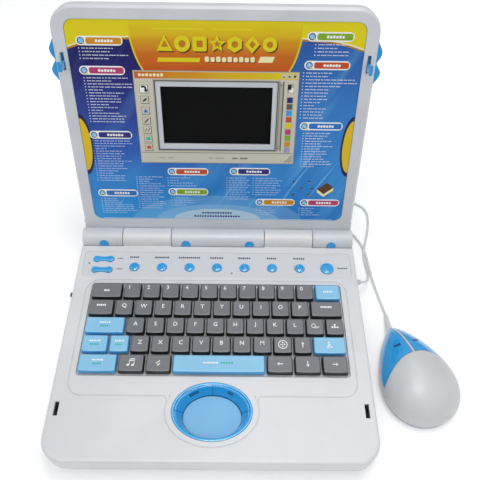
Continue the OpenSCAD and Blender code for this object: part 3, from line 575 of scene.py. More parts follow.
CORD_R = 1.2
COIL_AT = (96, 168)
COIL_RADII = (20.6, 14.2)  # centre line of the outermost and innermost turn
COIL_LAYERS = (1.75, 4.25)
COIL_TURNS = 5.5
COIL_STEPS = 24  # points in one turn
COIL_CLIMB = 0.3  # part of a turn in which the cord climbs to the upper layer
TWIST_L = 8  # length of the tie's twisted ends
TWIST_STEPS = 24
CORD_TO_COIL = [
    (141, 62, 15), (145, 63, 14.2), (148.6, 66.5, 11.6), (150.8, 72, 8.6), (152, 79, 5.4),
    (152, 87, 2.6), (151.5, 94, 1.5), (151.2, 101, 2.2), (151.5, 107, 3.5), (152.8, 113, 3.8),
    (154.7, 119, 3.1), (156.8, 126, 1.7), (159, 134, 1.3), (161, 143, 1.3), (162.2, 152, 1.3),
    (161.8, 161.5, 1.3), (158, 169.5, 1.3), (150.7, 174.8, 1.3), (141, 179, 1.3),
    (129, 183.6, 1.3), (116.5, 186.8, 1.4), (105.5, 188.3, 1.6),
]
CORD_TO_MOUSE = [
    (163.6, 32.3, 2.6), (162.2, 41, 1.3), (159.8, 53, 1.3), (157.7, 65, 1.3), (156, 77, 1.3),
    (155, 89, 1.3), (154.2, 100, 1.3), (152.8, 110, 1.3), (149.4, 120, 1.3), (144, 130, 1.3),
    (136.5, 138.5, 1.3), (127, 144.2, 1.4), (116, 147, 2.4), (105.5, 147.4, 3.9),
]


def coil_points():
    """Two flat layers of turns: inwards on the table from the back, then outwards on top."""
    layer = (COIL_TURNS - COIL_CLIMB) / 2
    count = int(COIL_TURNS * COIL_STEPS)
    points = []
    for k in range(count + 1):
        turn = COIL_TURNS * k / count
        inward = min(1, turn / layer)
        outward = max(0, (turn - layer - COIL_CLIMB) / layer)
        climb = min(1, max(0, (turn - layer) / COIL_CLIMB))
        share = inward - outward
        r = COIL_RADII[0] + (COIL_RADII[1] - COIL_RADII[0]) * share
        rise = climb * climb * (3 - 2 * climb)
        z = COIL_LAYERS[0] + (COIL_LAYERS[1] - COIL_LAYERS[0]) * rise
        angle = math.radians(90) + math.tau * turn
        points.append((COIL_AT[0] + r * math.cos(angle), COIL_AT[1] + r * math.sin(angle), z))
    return points


def add_cord():
    route = CORD_TO_COIL + coil_points() + CORD_TO_MOUSE[::-1]
    path = [p * MM for p in smooth_path(route, steps=3)]
    curve = bpy.data.curves.new("mouse_lead", "CURVE")
    curve.dimensions = "3D"
    curve.bevel_depth = CORD_R * MM
    curve.bevel_resolution = 3
    curve.use_fill_caps = True
    line = curve.splines.new("POLY")
    line.points.add(len(path) - 1)
    for point, place in zip(line.points, path):
        point.co = (*place, 1)
    curve.materials.append(MATERIALS["cord"])
    lead = add_object("mouse_lead", curve)
    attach(lead, "base")
    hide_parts("mouse_cord", "cord_coil")
    return lead, path


def add_coil_tie():
    """A flat tie round the turns on the coil's left, its ends twisted together."""
    tie = Shape()
    half, skin = 1.6, 0.4
    near = COIL_RADII[1] - CORD_R - 0.7
    far = COIL_RADII[0] + CORD_R + 0.7
    foot, top = 0.02, COIL_LAYERS[1] + CORD_R + 0.5
    section = rounded(-far, -near, foot, top, 2.4, steps=6)
    inner = rounded(-far + skin, -near - skin, foot + skin, top - skin, 2, steps=6)
    rings = [
        [(COIL_AT[0] + x, COIL_AT[1] + y, z) for x, z in outline]
        for outline, y in ((section, -half), (section, half), (inner, half), (inner, -half))
    ]
    tie.loft(rings, MATERIALS["silicone"], closed=True)
    flat = ellipse(0, 0, 1.3, 0.45, steps=10)
    twist = []
    for k in range(TWIST_STEPS + 1):
        along = -far + 0.2 - TWIST_L * k / TWIST_STEPS
        spun = turned_outline(flat, (0, 0), 45 * k)
        twist.append([(COIL_AT[0] + along, COIL_AT[1] + y, top / 2 + z) for y, z in spun])
    tie.loft(twist, MATERIALS["silicone"])
    return tie.build("coil_tie", "base", "silicone")


lead, lead_path = add_cord()
coil_tie = add_coil_tie()


# ---- Finishes of the CAD nodes ----

CAD_FINISH = {
    "base_bottom_cover": ("under", "base_shell"),
    "base_top_cover": ("base", "base_shell"),
    "battery_door": ("under", "base_shell"),
    "function_overlay": ("film", "overlay"),
    "batteries": ("cell", "cell_jacket"),
    "battery_contacts": ("steel", "steel"),
    "rubber_feet": ("foot", "foot_rubber"),
    "base_screws": ("steel", "steel"),
    "lid_screws": ("steel", "steel"),
    "hinge_pins": ("steel", "steel"),
    "main_board": ("board", "circuit_board"),
    "keyboard_board": ("board", "circuit_board"),
    "mouse_board": ("board", "circuit_board"),
    "keyboard_membrane": ("silicone", "silicone"),
    "switch_housing": ("black", "switch_black"),
    "side_switch": ("black", "switch_black"),
    "lid_front_frame": ("lid", "lid_shell"),
    "lid_back_cover": ("lid", "lid_shell"),
    "printed_panel": ("sheet", "printed_sheet"),
    "screen_window": ("window", "screen_clear"),
    "lcd_module": ("display", "lcd"),
    "speaker": ("speaker", "speaker_metal"),
    "latch_left": ("blue", "blue_plastic"),
    "latch_right": ("blue", "blue_plastic"),
    "hinge_plugs": ("blue", "blue_plastic"),
    "touch_disc": ("touch", "touch_blue"),
    "mouse_bottom_shell": ("mouse_base", "mouse_base"),
}


def finish_cad_nodes():
    for node, (material, slot) in CAD_FINISH.items():
        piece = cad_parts[node]
        piece.data.materials.clear()
        piece.data.materials.append(MATERIALS[material])
        piece.data.shade_smooth()
        piece.data.set_sharp_from_angle(angle=math.radians(30))


finish_cad_nodes()


# ---- Side switch's grip ----

GRIP_X = (-136.3, -138, -138.6)  # inside the knob, foot of the ridges, their tips
GRIP_Y0 = 39.9
GRIP_Z = (17.7, 20.3)
RIDGES = 4
RIDGE_PITCH = 1


def add_switch_grip():
    """Ridged grip on the knob of the side switch."""
    inside, foot, tip = GRIP_X
    outline = [(inside, GRIP_Y0)]
    for k in range(RIDGES):
        y = GRIP_Y0 + k * RIDGE_PITCH
        outline += [(foot, y), (tip, y + 0.2), (tip, y + 0.6), (foot, y + 0.8)]
    outline.append((inside, outline[-1][1]))
    grip = Shape()
    grip.prism(outline, *GRIP_Z, MATERIALS["black"])
    grip.build("side_switch_grip", "side_switch", "switch_black", bevel=0.1)


add_switch_grip()


# ---- Marks and legends ----


def word_bars(shape, centre, width, height, letters, z0, z1, material):
    """A word's place taken by a row of small blocks."""
    pitch = width / letters
    for k in range(letters):
        left = centre[0] - width / 2 + k * pitch
        drop = 0.12 * height * (k % 2)
        outline = rounded(
            left + 0.1 * pitch,
            left + 0.86 * pitch,
            centre[1] - height / 2,
            centre[1] + height / 2 - drop,
            0.2 * height,
            steps=2,
        )
        shape.prism(outline, z0, z1, material)


def ribbon(points, width):
    """Outline of an even band along a line of flat points."""
    left, right = [], []
    last = len(points) - 1
    for i, point in enumerate(points):
        ahead = Vector(points[min(i + 1, last)]) - Vector(points[max(i - 1, 0)])
        side = Vector((-ahead[1], ahead[0])).normalized() * width / 2
        left.append(tuple(Vector(point) + side))
        right.append(tuple(Vector(point) - side))
    return right + left[::-1]


def ring_patch(shape, centre, rx, ry, width, z0, z1, material, steps):
    """A flat ring as one closed solid."""
    profile = ((0, z0), (0, z1), (width, z1), (width, z0))
    shape.loft(oval_rings(centre, (rx, ry), profile, steps), material, closed=True)


CAPITAL_H = 0.72  # height of a capital in the built-in font at size 1
glyphs = {}


def glyph(text):
    """Points and faces of one letter or digit, 1 high, thin and closed."""
    if text not in glyphs:
        curve = bpy.data.curves.new("glyph", "FONT")
        curve.body = text
        curve.size = 1
        curve.offset = 0.012
        curve.extrude = 0.02
        curve.resolution_u = 3
        holder = bpy.data.objects.new("glyph", curve)
        mesh = bpy.data.meshes.new_from_object(holder)
        work = bmesh.new()
        work.from_mesh(mesh)
        bmesh.ops.remove_doubles(work, verts=work.verts, dist=1e-5)
        sides = [[v.co[i] for v in work.verts] for i in (0, 1)]
        cx, cy = [(min(side) + max(side)) / 2 for side in sides]
        points = [
            ((v.co.x - cx) / CAPITAL_H, (v.co.y - cy) / CAPITAL_H, v.co.z) for v in work.verts
        ]
        work.verts.index_update()
        faces = [[v.index for v in face.verts] for face in work.faces]
        work.free()
        bpy.data.objects.remove(holder)
        bpy.data.meshes.remove(mesh)
        glyphs[text] = points, faces
    return glyphs[text]


def add_glyph(shape, text, centre, height, z0, z1, material):
    points, faces = glyph(text)
    placed = [(centre[0] + x * height, centre[1] + y * height, z1 if z > 0 else z0) for x, y, z in points]
    shape.add(placed, faces, material)


# ---- Keys ----

KEY_PITCH = 17.8
ROW_PITCH = 18.1
KEY_GAP = 1.2
KEYBOARD_LEFT = -116
KEYBOARD_BACK = 48.9
STEM_END_Z = 22.4
WIDE_KEY = 50
CAP_CORNER_STEPS = 4
CAP_FRONT_STEPS = 7
KEY_ROWS = [
    [29.5] + [KEY_PITCH] * 10 + [24.5],
    [24] + [KEY_PITCH] * 10 + [30],
    [36.4] + [KEY_PITCH] * 9 + [17.7, 17.7],
    [24, 18.4] + [KEY_PITCH] * 7 + [18, 17, 30],
    [34, 23.5, 23, 80.5, 23.8, 23.8, 23.4],
]
LETTER_ROWS = {0: (1, "1234567890"), 1: (1, "QWERTYUIOP"), 2: (1, "ASDFGHJKL"), 3: (2, "ZXCVBNM")}


def span(row, first, last):
    return [(row, i) for i in range(first, last + 1)]


KEY_GROUPS = {
    "escape_key": span(0, 0, 0),
    "digit_keys": span(0, 1, 10),
    "back_key": span(0, 11, 11),
    "level_key": span(1, 0, 0),
    "top_letter_keys": span(1, 1, 10),
    "enter_key": span(1, 11, 11),
    "wide_blue_key": span(2, 0, 0),
    "middle_letter_keys": span(2, 1, 11),
    "left_blue_keys": span(3, 0, 1) + span(4, 0, 0),
    "bottom_dark_keys": span(3, 2, 9) + span(4, 1, 2),
    "right_blue_key": span(3, 11, 11),
    "space_bar": span(4, 3, 3),
    "arrow_keys": span(3, 10, 10) + span(4, 4, 6),
}
BLUE_GROUPS = ("back_key", "wide_blue_key", "left_blue_keys", "right_blue_key", "space_bar")


def key_box(row, place):
    """Left, right, front and back of one key's foot."""
    left = KEYBOARD_LEFT + sum(KEY_ROWS[row][:place])
    back = KEYBOARD_BACK - row * ROW_PITCH
    half = KEY_GAP / 2
    return left + half, left + KEY_ROWS[row][place] - half, back - ROW_PITCH + half, back - half


def cap_outline(x0, x1, y0, y1, r, bulge):
    """Rounded rectangle whose front edge swells towards the user."""
    corners = rounded(x0, x1, y0, y1, r, CAP_CORNER_STEPS)
    front = []
    for k in range(1, CAP_FRONT_STEPS):
        t = 2 * k / CAP_FRONT_STEPS - 1
        x = (x0 + x1) / 2 + t * ((x1 - x0) / 2 - r)
        front.append((x, y0 - bulge * (1 - t * t)))
    front_left_end = 3 * (CAP_CORNER_STEPS + 1)
    return corners[:front_left_end] + front + corners[front_left_end:]


# Height, inset at the sides, at the front and at the back, and front swell, from foot to top
CAP_PROFILE = [
    (BASE_H + 0.05, 0.25, 0.25, 0.25, 0.0),
    (BASE_H + 0.3, 0.0, 0.0, 0.0, 0.0),
    (BASE_H + 3.0, 0.35, 0.2, 0.75, 0.1),
    (BASE_H + 4.35, 0.75, 0.5, 1.2, 0.35),
    (BASE_H + 4.75, 1.0, 0.8, 1.45, 0.45),
    (BASE_H + 4.95, 1.35, 1.2, 1.8, 0.45),
    (BASE_H + 5.0, 1.8, 1.8, 2.3, 0.4),
    (BASE_H + 4.86, 3.4, 3.6, 4.0, 0.2),
    (BASE_H + 4.82, 5.0, 5.2, 5.4, 0.0),
]
SKIRT_BANDS = 4


def add_cap(caps, row, place, top, side):
    """One key's dished cap, with a stem, or two stems under a wide key."""
    x0, x1, y0, y1 = key_box(row, place)
    rings = []
    for z, inset, front, back, bulge in CAP_PROFILE:
        corner = max(0.4, 1.5 - inset / 3)
        outline = cap_outline(x0 + inset, x1 - inset, y0 + front, y1 - back, corner, bulge)
        rings.append(level(outline, z))
    bands = len(rings) - 1
    caps.loft(rings, [side] * SKIRT_BANDS + [top] * (bands - SKIRT_BANDS))
    reach = (x1 - x0 + KEY_GAP) / 3
    stem = [(2.2, STEM_END_Z), (2.5, STEM_END_Z + 0.3), (2.5, BASE_H + 1)]
    for shift in (-reach, reach) if x1 - x0 > WIDE_KEY else (0,):
        caps.turned(stem, ((x0 + x1) / 2 + shift, (y0 + y1) / 2), side, 20)


LEGEND_Z = (BASE_H + 4.6, BASE_H + 4.96)
LETTER_H = 3.9
KEY_WORDS = {"escape_key": (3, -0.6), "level_key": (5, 1.8), "enter_key": (6, 1.8)}  # letters, rise
NARROW_KEY = 20


class Caps(Shape):
    """Key caps and the legends on them."""

    def legend(self, outline):
        self.prism(outline, *LEGEND_Z, INK["white"])

    def word(self, centre, width, height, letters, paint="white"):
        word_bars(self, centre, width, height, letters, *LEGEND_Z, INK[paint])

    def ring(self, centre, rx, ry, width, steps):
        ring_patch(self, centre, rx, ry, width, *LEGEND_Z, INK["white"], steps)


def key_middle(row, place):
    x0, x1, y0, y1 = key_box(row, place)
    return (x0 + x1) / 2, (y0 + y1) / 2 - 0.2


def add_letters(caps, row, places):
    """The digits sit in the cap's upper left corner, the letters in its middle."""
    first, letters = LETTER_ROWS[row]
    dx, dy = (-3.0, 3.1) if row == 0 else (0, 1.2)
    for place in places:
        if first <= place < first + len(letters):
            x, y = key_middle(row, place)
            text = letters[place - first]
            add_glyph(caps, text, (x + dx, y + dy), LETTER_H, *LEGEND_Z, INK["white"])


def blue_words(caps, x, y, widths):
    caps.word((x, y + 1.6), widths[0], 1.5, 5)
    caps.word((x - 0.3, y - 1.8), widths[1], 1.7, 4, "teal")


def note_icon(caps, x, y):
    """Two notes joined by a double beam."""
    for dx in (-2.4, 1.7):
        head = ellipse(x + dx, y - 2.2, 1.35, 1.0, 16)
        caps.legend(turned_outline(head, (x + dx, y - 2.2), 20))
        caps.legend(rect(x + dx + 0.75, x + dx + 1.3, y - 1.9, y + 3.0))
    left, right = x - 1.35, x + 3.0
    for low in (y + 2.6, y + 1.2):
        caps.legend([(left, low), (right, low + 0.5), (right, low + 1.3), (left, low + 0.8)])


def swirl_icon(caps, x, y):
    for dx, dy, turn in ((-1.2, 0.2, 30), (0.6, 1.4, 60), (0.9, -1.2, 60), (-0.4, -1.8, 120)):
        caps.legend(turned_outline(ellipse(x + dx, y + dy, 1.2, 0.4, 12), (x + dx, y + dy), turn))


def plus_icon(caps, x, y):
    """A ring round four arrowheads and a dot."""
    caps.ring((x, y), 4.1, 4.1, 0.65, 28)
    head = [(x + 2.6, y), (x + 1.3, y + 1.0), (x + 1.3, y - 1.0)]
    for turn in (0, 90, 180, 270):
        caps.legend(turned_outline(head, (x, y), turn))
    caps.legend(ellipse(x, y, 0.5, 0.5, 10))


def arrow_icon(caps, x, y, turn):
    head = [(x + 2.6, y), (x + 0.5, y + 1.35), (x + 0.5, y - 1.35)]
    for outline in (rect(x - 2.6, x + 0.9, y - 0.35, y + 0.35), head):
        caps.legend(turned_outline(outline, (x, y), turn))


def loop_icon(caps, x, y):
    """A ring that trails off in a wavy line."""
    caps.ring((x - 1.3, y + 0.6), 1.9, 2.2, 0.55, 20)
    wave = [(-1, -1), (0.4, -1.9), (1.4, -0.2), (2.1, -1.8), (3.2, -0.2), (3.8, -0.6)]
    caps.legend(ribbon(smooth_path([(x + dx, y + dy) for dx, dy in wave], 3), 0.5))


def dots_icon(caps, x, y):
    for dx, dy in ((0, 1.5), (-2.3, -0.7), (0, -0.7), (2.3, -0.7)):
        caps.legend(ellipse(x + dx, y + dy, 0.95, 0.95, 14))


def person_icon(caps, x, y):
    """A head, a leaning body and two steps."""
    caps.legend(ellipse(x - 0.6, y + 2.2, 0.9, 0.9, 12))
    caps.legend([(x - 2.6, y - 1.6), (x - 0.2, y + 1.2), (x + 0.8, y + 0.8), (x - 1.4, y - 1.9)])
    caps.legend(rect(x - 0.6, x + 2.4, y - 2.4, y - 1.6))
    caps.legend(rect(x - 2.4, x - 1.2, y - 3.2, y - 2.4))


def add_legends(caps, group):
    """Letters, digits, icons and words' places on one group of keys."""
    cells = KEY_GROUPS[group]
    if group in ("digit_keys", "top_letter_keys", "middle_letter_keys"):
        add_letters(caps, cells[0][0], [place for _, place in cells])
    if group == "middle_letter_keys":
        loop_icon(caps, *key_middle(2, 10))
        dots_icon(caps, *key_middle(2, 11))
    if group == "bottom_dark_keys":
        add_letters(caps, 3, range(2, 9))
        plus_icon(caps, *key_middle(3, 9))
        note_icon(caps, *key_middle(4, 1))
        swirl_icon(caps, *key_middle(4, 2))
    if group == "arrow_keys":
        for cell, turn in zip(cells, (90, 180, 270, 0)):
            arrow_icon(caps, *key_middle(*cell), turn)
    if group in KEY_WORDS:
        x, y = key_middle(*cells[0])
        letters, rise = KEY_WORDS[group]
        caps.word((x, y + rise), 1.75 * letters, 2.0, letters)
    if group in ("wide_blue_key", "left_blue_keys"):
        for row, place in cells:
            x, y = key_middle(row, place)
            narrow = KEY_ROWS[row][place] < NARROW_KEY
            blue_words(caps, x, y + 0.6, (8.5, 5.5) if narrow else (10, 8))
    if group == "back_key":
        caps.word(key_middle(0, 11), 9, 1.8, 5)
    if group == "right_blue_key":
        person_icon(caps, *key_middle(3, 11))
    if group == "space_bar":
        x, y = key_middle(4, 3)
        caps.word((x - 7.2, y + 0.4), 13, 1.4, 7)
        caps.word((x + 6.8, y + 0.4), 11, 1.8, 5, "teal")


def add_keys():
    for group, cells in KEY_GROUPS.items():
        blue = group in BLUE_GROUPS
        top = MATERIALS["blue_key" if blue else "key_top"]
        side = MATERIALS["blue_key_side" if blue else "key_side"]
        caps = Caps()
        for row, place in cells:
            add_cap(caps, row, place, top, side)
        add_legends(caps, group)
        slot = "key_blue" if blue else "key_grey"
        caps.build(group + "_caps", group, slot, smooth_angle=38, replaces=[group])


add_keys()


# ---- Function strip ----

BUTTON_Y = 68.7
BUTTON_X0 = -80
BUTTON_PITCH = 26.65
BUTTON_R = 4.65
POWER_R = 6.2
BUTTON_TOP = 29.1
FLANGE_Z = (23.8, 25.5)
VOLUME_X = -110.8
VOLUME_Y = {"volume_up_button": 77.8, "volume_down_button": 65.2}
PRINT_Z = (STRIP_Z - 0.02, STRIP_Z + 0.03)


def button_profile(r):
    """Radius and height from the stem's foot to the middle of the domed cap."""
    top = BUTTON_TOP
    low, high = FLANGE_Z
    return [
        (1.8, 19.8), (2, 20), (2, low), (r + 1.2, low), (r + 1.2, high), (r, high), (r, top - 0.45),
        (r - 0.12, top - 0.15), (r - 0.4, top), (r - 0.85, top), (r - 1.05, top - 0.3),
        (r - 1.3, top - 0.12), (r * 0.5, top + 0.1), (0.2, top + 0.16),
    ]


def rimmed(bands, first, last):
    """Materials of a cap's bands: the paler rim from first to last, a painted highlight on the rounded edge,
    and the plain blue elsewhere.
    """
    return [MATERIALS["blue_rim_highlight" if first <= k <= last else "blue"] for k in range(bands)]


def add_round_button(name, place, r):
    cap = Shape()
    profile = button_profile(r)
    centre = (BUTTON_X0 + BUTTON_PITCH * place, BUTTON_Y)
    cap.turned(profile, centre, rimmed(len(profile) - 1, 6, 9), 40)
    cap.build(name + "_cap", name, "blue_plastic", replaces=[name])


def bow_tie(cx, cy, grow, steps=10):
    """Outline of two round ends joined by a narrow waist."""
    end_x, end_r, waist = 6.6, 3.4 + grow, 2.2 + grow
    right = ellipse(cx + end_x, cy, end_r, end_r, steps, -75, 75)
    left = ellipse(cx - end_x, cy, end_r, end_r, steps, 105, 255)
    neck = [(3, waist + 0.25), (0, waist), (-3, waist + 0.25)]
    above = [(cx + x, cy + y) for x, y in neck]
    below = [(cx - x, cy - y) for x, y in neck]
    return right + above + left + below


def add_volume_button(name, y):
    cap = Shape()
    top = BUTTON_TOP
    low, high = FLANGE_Z
    levels = [
        (1.2, low), (1.2, high), (0, high), (0, top - 0.4), (-0.15, top - 0.1), (-0.4, top),
        (-0.75, top), (-0.95, top - 0.25), (-1.2, top - 0.1), (-1.9, top + 0.05),
    ]
    rings = [level(bow_tie(VOLUME_X, y, grow), z) for grow, z in levels]
    cap.loft(rings, rimmed(len(rings) - 1, 3, 6))
    cap.turned([(1.8, 19.8), (2, 20), (2, low + 0.5)], (VOLUME_X, y), MATERIALS["blue"], 20)
    cap.build(name + "_cap", name, "blue_plastic", replaces=[name])


# Left end, right end, middle height, height and number of blocks of each label
STRIP_LABELS = [
    (-85.7, -76.6, 80.3, 2, 5), (-61.3, -47.2, 80.3, 2, 7), (-38.1, -16.8, 80.3, 2, 11),
    (-7.3, 5.9, 80.3, 2, 6), (20.2, 32.4, 80.3, 2, 6), (48.3, 57.7, 80.3, 2, 5),
    (74.2, 85.5, 80.3, 2, 6), (116.4, 126.6, 69.4, 1.3, 5), (-97.3, -92.3, 78.8, 1.3, 5),
    (-96.9, -90.9, 66.3, 1.3, 5),
]


def add_strip_marks():
    """Labels of the buttons as plain blocks, a small triangle and an indicator dot."""
    marks = Shape()
    for x0, x1, y, height, letters in STRIP_LABELS:
        word_bars(marks, ((x0 + x1) / 2, y), x1 - x0, height, letters, *PRINT_Z, INK["mark"])
    marks.prism([(-124.8, 71.6), (-124.8, 73.8), (-122.6, 72.7)], *PRINT_Z, INK["mark"])
    marks.prism(ellipse(14.3, 62.5, 0.8, 0.8, 16), *PRINT_Z, INK["mark"])
    marks.build("strip_print", "base", "overlay")


def add_strip():
    for place in range(7):
        add_round_button("mode_button_%d" % (place + 1), place, BUTTON_R)
    add_round_button("power_button", 7, POWER_R)
    for name, y in VOLUME_Y.items():
        add_volume_button(name, y)
    add_strip_marks()


add_strip()


# ---- Touch pad ----

PAD_Y = -72.6
PAD_R = (33.2, 24.5)
PAD_RIM = 1.8
DISC_R = (24.2, 18.3)
DISC_Y = -74.6
PAD_FLOOR = 13
PAD_SWING = 0.11  # how far the joints swing back, as a part of their angle


def pad_point(angle, part, z):
    """From the ring's edge (part 0) to the disc's edge (part 1) at an angle in degrees.

    The joints between buttons and bowl swing back towards the disc.
    """
    upper = angle < 180
    middle = 90 if upper else 270
    swung = middle + (angle - middle) * (1 - PAD_SWING if upper else 1 + PAD_SWING)
    out, back = math.radians(angle), math.radians(swung)
    outer = ((PAD_R[0] - PAD_RIM) * math.cos(out), PAD_Y + (PAD_R[1] - PAD_RIM) * math.sin(out))
    inner = ((DISC_R[0] + 0.3) * math.cos(back), DISC_Y + (DISC_R[1] + 0.3) * math.sin(back))
    return outer[0] + (inner[0] - outer[0]) * part, outer[1] + (inner[1] - outer[1]) * part, z


def add_pad_sector(shape, start, end, lift, outer_gap, material, steps):
    """One stretch of the ring, domed from the rim to the disc."""
    crown = [
        (0.98, 19.6), (0.9, 20.6), (0.68, 23.5), (0.45, 26.5), (0.3, 27.7), (0.18, 28.2),
        (0.07, 28.0), (outer_gap, 27.2),
    ]
    dome_line = smooth_path([(part, z + lift) for part, z in crown], 3)
    profile = [(0.5, 19.4), (0.96, 18.2 + lift)] + [tuple(p) for p in dome_line] + [(outer_gap, 20)]
    rings = [
        [pad_point(start + (end - start) * k / steps, part, z) for part, z in profile]
        for k in range(steps + 1)
    ]
    shape.loft(rings, material)


def add_pad_mark(shape, middle, letters):
    """A dark word's place on a button's slope, taken by blocks that follow the ring."""
    step, half = 4.2, 1.4
    for k in range(letters):
        turn = middle + step * ((letters - 1) / 2 - k)
        corners = (
            (turn + half, 0.45, 27), (turn - half, 0.45, 27), (turn - half, 0.68, 24), (turn + half, 0.68, 24)
        )
        rings = [[pad_point(angle, part, z + lift) for angle, part, z in corners] for lift in (-0.4, 0.05)]
        shape.loft(rings, INK["deep"])


def add_pad():
    """The ring's rim, floor and lower half as one bowl, and the two buttons in its upper half."""
    dish = Shape()
    centre = (0, PAD_Y)
    top = BASE_H + 0.4
    rim = [
        (0, PAD_FLOOR), (0, top - 0.35), (0.15, top - 0.08), (0.45, top), (PAD_RIM - 0.45, top),
        (PAD_RIM - 0.12, top - 0.12), (PAD_RIM, top - 0.4), (PAD_RIM, PAD_FLOOR),
    ]
    collar = [(0.9, 24), (0.9, 25.6), (-3, 25.6), (-3, 24)]
    floor = ellipse(*centre, PAD_R[0] - 0.9, PAD_R[1] - 0.9, 64)
    # The rim's paler blue is a painted highlight on its rounded edge
    dish.loft(oval_rings(centre, PAD_R, rim, 96), MATERIALS["blue_rim_highlight"], closed=True)
    dish.prism(floor, PAD_FLOOR, PAD_FLOOR + 1.6, MATERIALS["blue"])
    dish.loft(oval_rings(centre, PAD_R, collar, 96), MATERIALS["blue"], closed=True)
    add_pad_sector(dish, 180.4, 359.6, 0, -0.05, MATERIALS["blue"], 72)
    dish.build("pad_bowl", "base", "blue_plastic", replaces=["pad_dish"])
    for name, start, end, mark_at, letters in (
        ("pad_left_button", 90.4, 179.6, 127, 5), ("pad_right_button", 0.4, 89.6, 55, 3)
    ):
        button = Shape()
        add_pad_sector(button, start, end, 0.5, 0.05, MATERIALS["blue"], 48)
        add_pad_mark(button, mark_at, letters)
        button.build(name + "_cap", name, "blue_plastic", replaces=[name])


add_pad()


# ---- Printed panel ----


class Print(Shape):
    """Layers of ink on the lid's printed sheet, drawn flat; higher layers cover lower ones."""

    def __init__(self):
        super().__init__(LID)

    def patch(self, outline, layer, paint):
        self.prism(outline, SHEET_Z - 0.02, SHEET_Z + LAYER * layer, INK[paint])

    def words(self, centre, width, height, letters, layer, paint):
        top = SHEET_Z + LAYER * layer
        word_bars(self, centre, width, height, letters, SHEET_Z - 0.02, top, INK[paint])


SHEET_HALF = 122.4
SHEET_TOP = 209.2
SHEET_R = 7.8
LINE_H = 0.85

# Left end and top of each heading, and its colour
PILLS = [
    (-114.5, 195.9, "orange"), (-115.2, 171.3, "magenta"), (-115.1, 112.2, "navy"),
    (-115.7, 51.0, "blue"), (-47.1, 75.2, "red"), (-47.7, 53.0, "green"), (11.3, 76.0, "navy"),
    (36.7, 42.1, "orange"), (80.1, 42.1, "magenta"), (74.5, 201.2, "green"),
    (73.9, 177.7, "red"), (74.1, 122.8, "blue"),
]
PILL_SIZE = (38.5, 7.6)

# Left end, top line, distance between lines, and the lines' lengths
LISTS = [
    (-110.6, 186, 2.83, [26, 23, 38, 22]),
    (-110, 161, 2.66, [35, 22, 38, 38, 13, 30, 25, 28, 27, 16, 25, 10, 24, 30, 28, 28]),
    (-111.5, 102.3, 2.58, [32, 34, 27, 10, 24, 26, 23, 22, 32, 24, 24, 27, 18, 13, 24, 23, 24]),
    (-111, 40.5, 2.27, [14, 14, 16, 28, 30, 28, 32, 22]),
    (-74.8, 65.3, 2.49, [24, 13, 10, 21, 24, 19, 22, 22, 18, 24, 18, 22, 24, 20, 22]),
    (-45, 64.6, 2.9, [19, 8, 21, 25]),
    (-43, 42.5, 2.9, [16, 20, 20, 12]),
    (11, 65, 2.6, [16, 19, 17, 20, 18, 16, 20, 17, 19, 18]),
    (36, 65, 2.6, [20, 26, 22, 24, 21, 26, 23, 20]),
    (40, 31.5, 2.5, [13, 16, 16, 12]),
    (82, 31.5, 2.5, [14, 10, 12, 18]),
    (84, 191, 2.9, [23, 16, 26, 26]),
    (76, 167.3, 2.9, [22, 20, 42, 44, 30, 22, 20, 20, 20, 14, 10, 20, 18, 18, 18]),
    (80, 112, 2.6, [22, 21, 16, 24, 15, 26, 16, 20, 21, 16, 19, 24, 26, 11]),
]


def sheet_corner(side):
    """The sheet's upper corner on one side, from its edge to its top."""
    cx, cy = SHEET_HALF - SHEET_R, SHEET_TOP - SHEET_R
    return [(side * x, y) for x, y in ellipse(cx, cy, SHEET_R, SHEET_R, 6, 0, 90)]


def add_top_band(art):
    """Yellow band across the top, with a cream edge that sweeps up to the title."""
    for side in (-1, 1):
        sweep = smooth_path(
            [(side * 122.4, 187.4), (side * 108, 191.8), (side * 92, 194.6), (side * 60, 196.6)], 5
        )
        sweep = [tuple(p) for p in sweep]
        art.patch([(0, SHEET_TOP)] + sheet_corner(side)[::-1] + sweep + [(0, 196)], 1, "yellow")
        art.patch(ribbon([(x, y - 0.3) for x, y in sweep], 1.3), 2, "cream")
        art.patch(ribbon([(x, y - 1.8) for x, y in sweep], 1.2), 1, "amber")


SHIELD_EDGE = [(70.7, 209.2), (71, 203), (70.3, 196), (69, 189), (67, 181), (64.5, 174), (61.5, 168.2)]


TITLE_X0, TITLE_PITCH = -42, 14.4
TITLE_Y = 190.5


def title_shapes():
    """Seven plain outlines about their own middle."""
    star = [
        (r * math.sin(math.pi * k / 5), r * math.cos(math.pi * k / 5))
        for k, r in enumerate([7.4, 3.3] * 5)
    ]
    return [
        [(-6.6, -6), (6.6, -6), (0, 7)],
        ellipse(0, 0, 6.6, 6.6, 28),
        rounded(-5.8, 5.8, -6, 6, 1.6, 3),
        star,
        ellipse(0, 0, 6.7, 6.7, 6, 30, 390),
        [(0, 7.2), (-6.2, 0), (0, -7.2), (6.2, 0)],
        rounded(-6, 6, -6, 6, 6, 4),
    ]


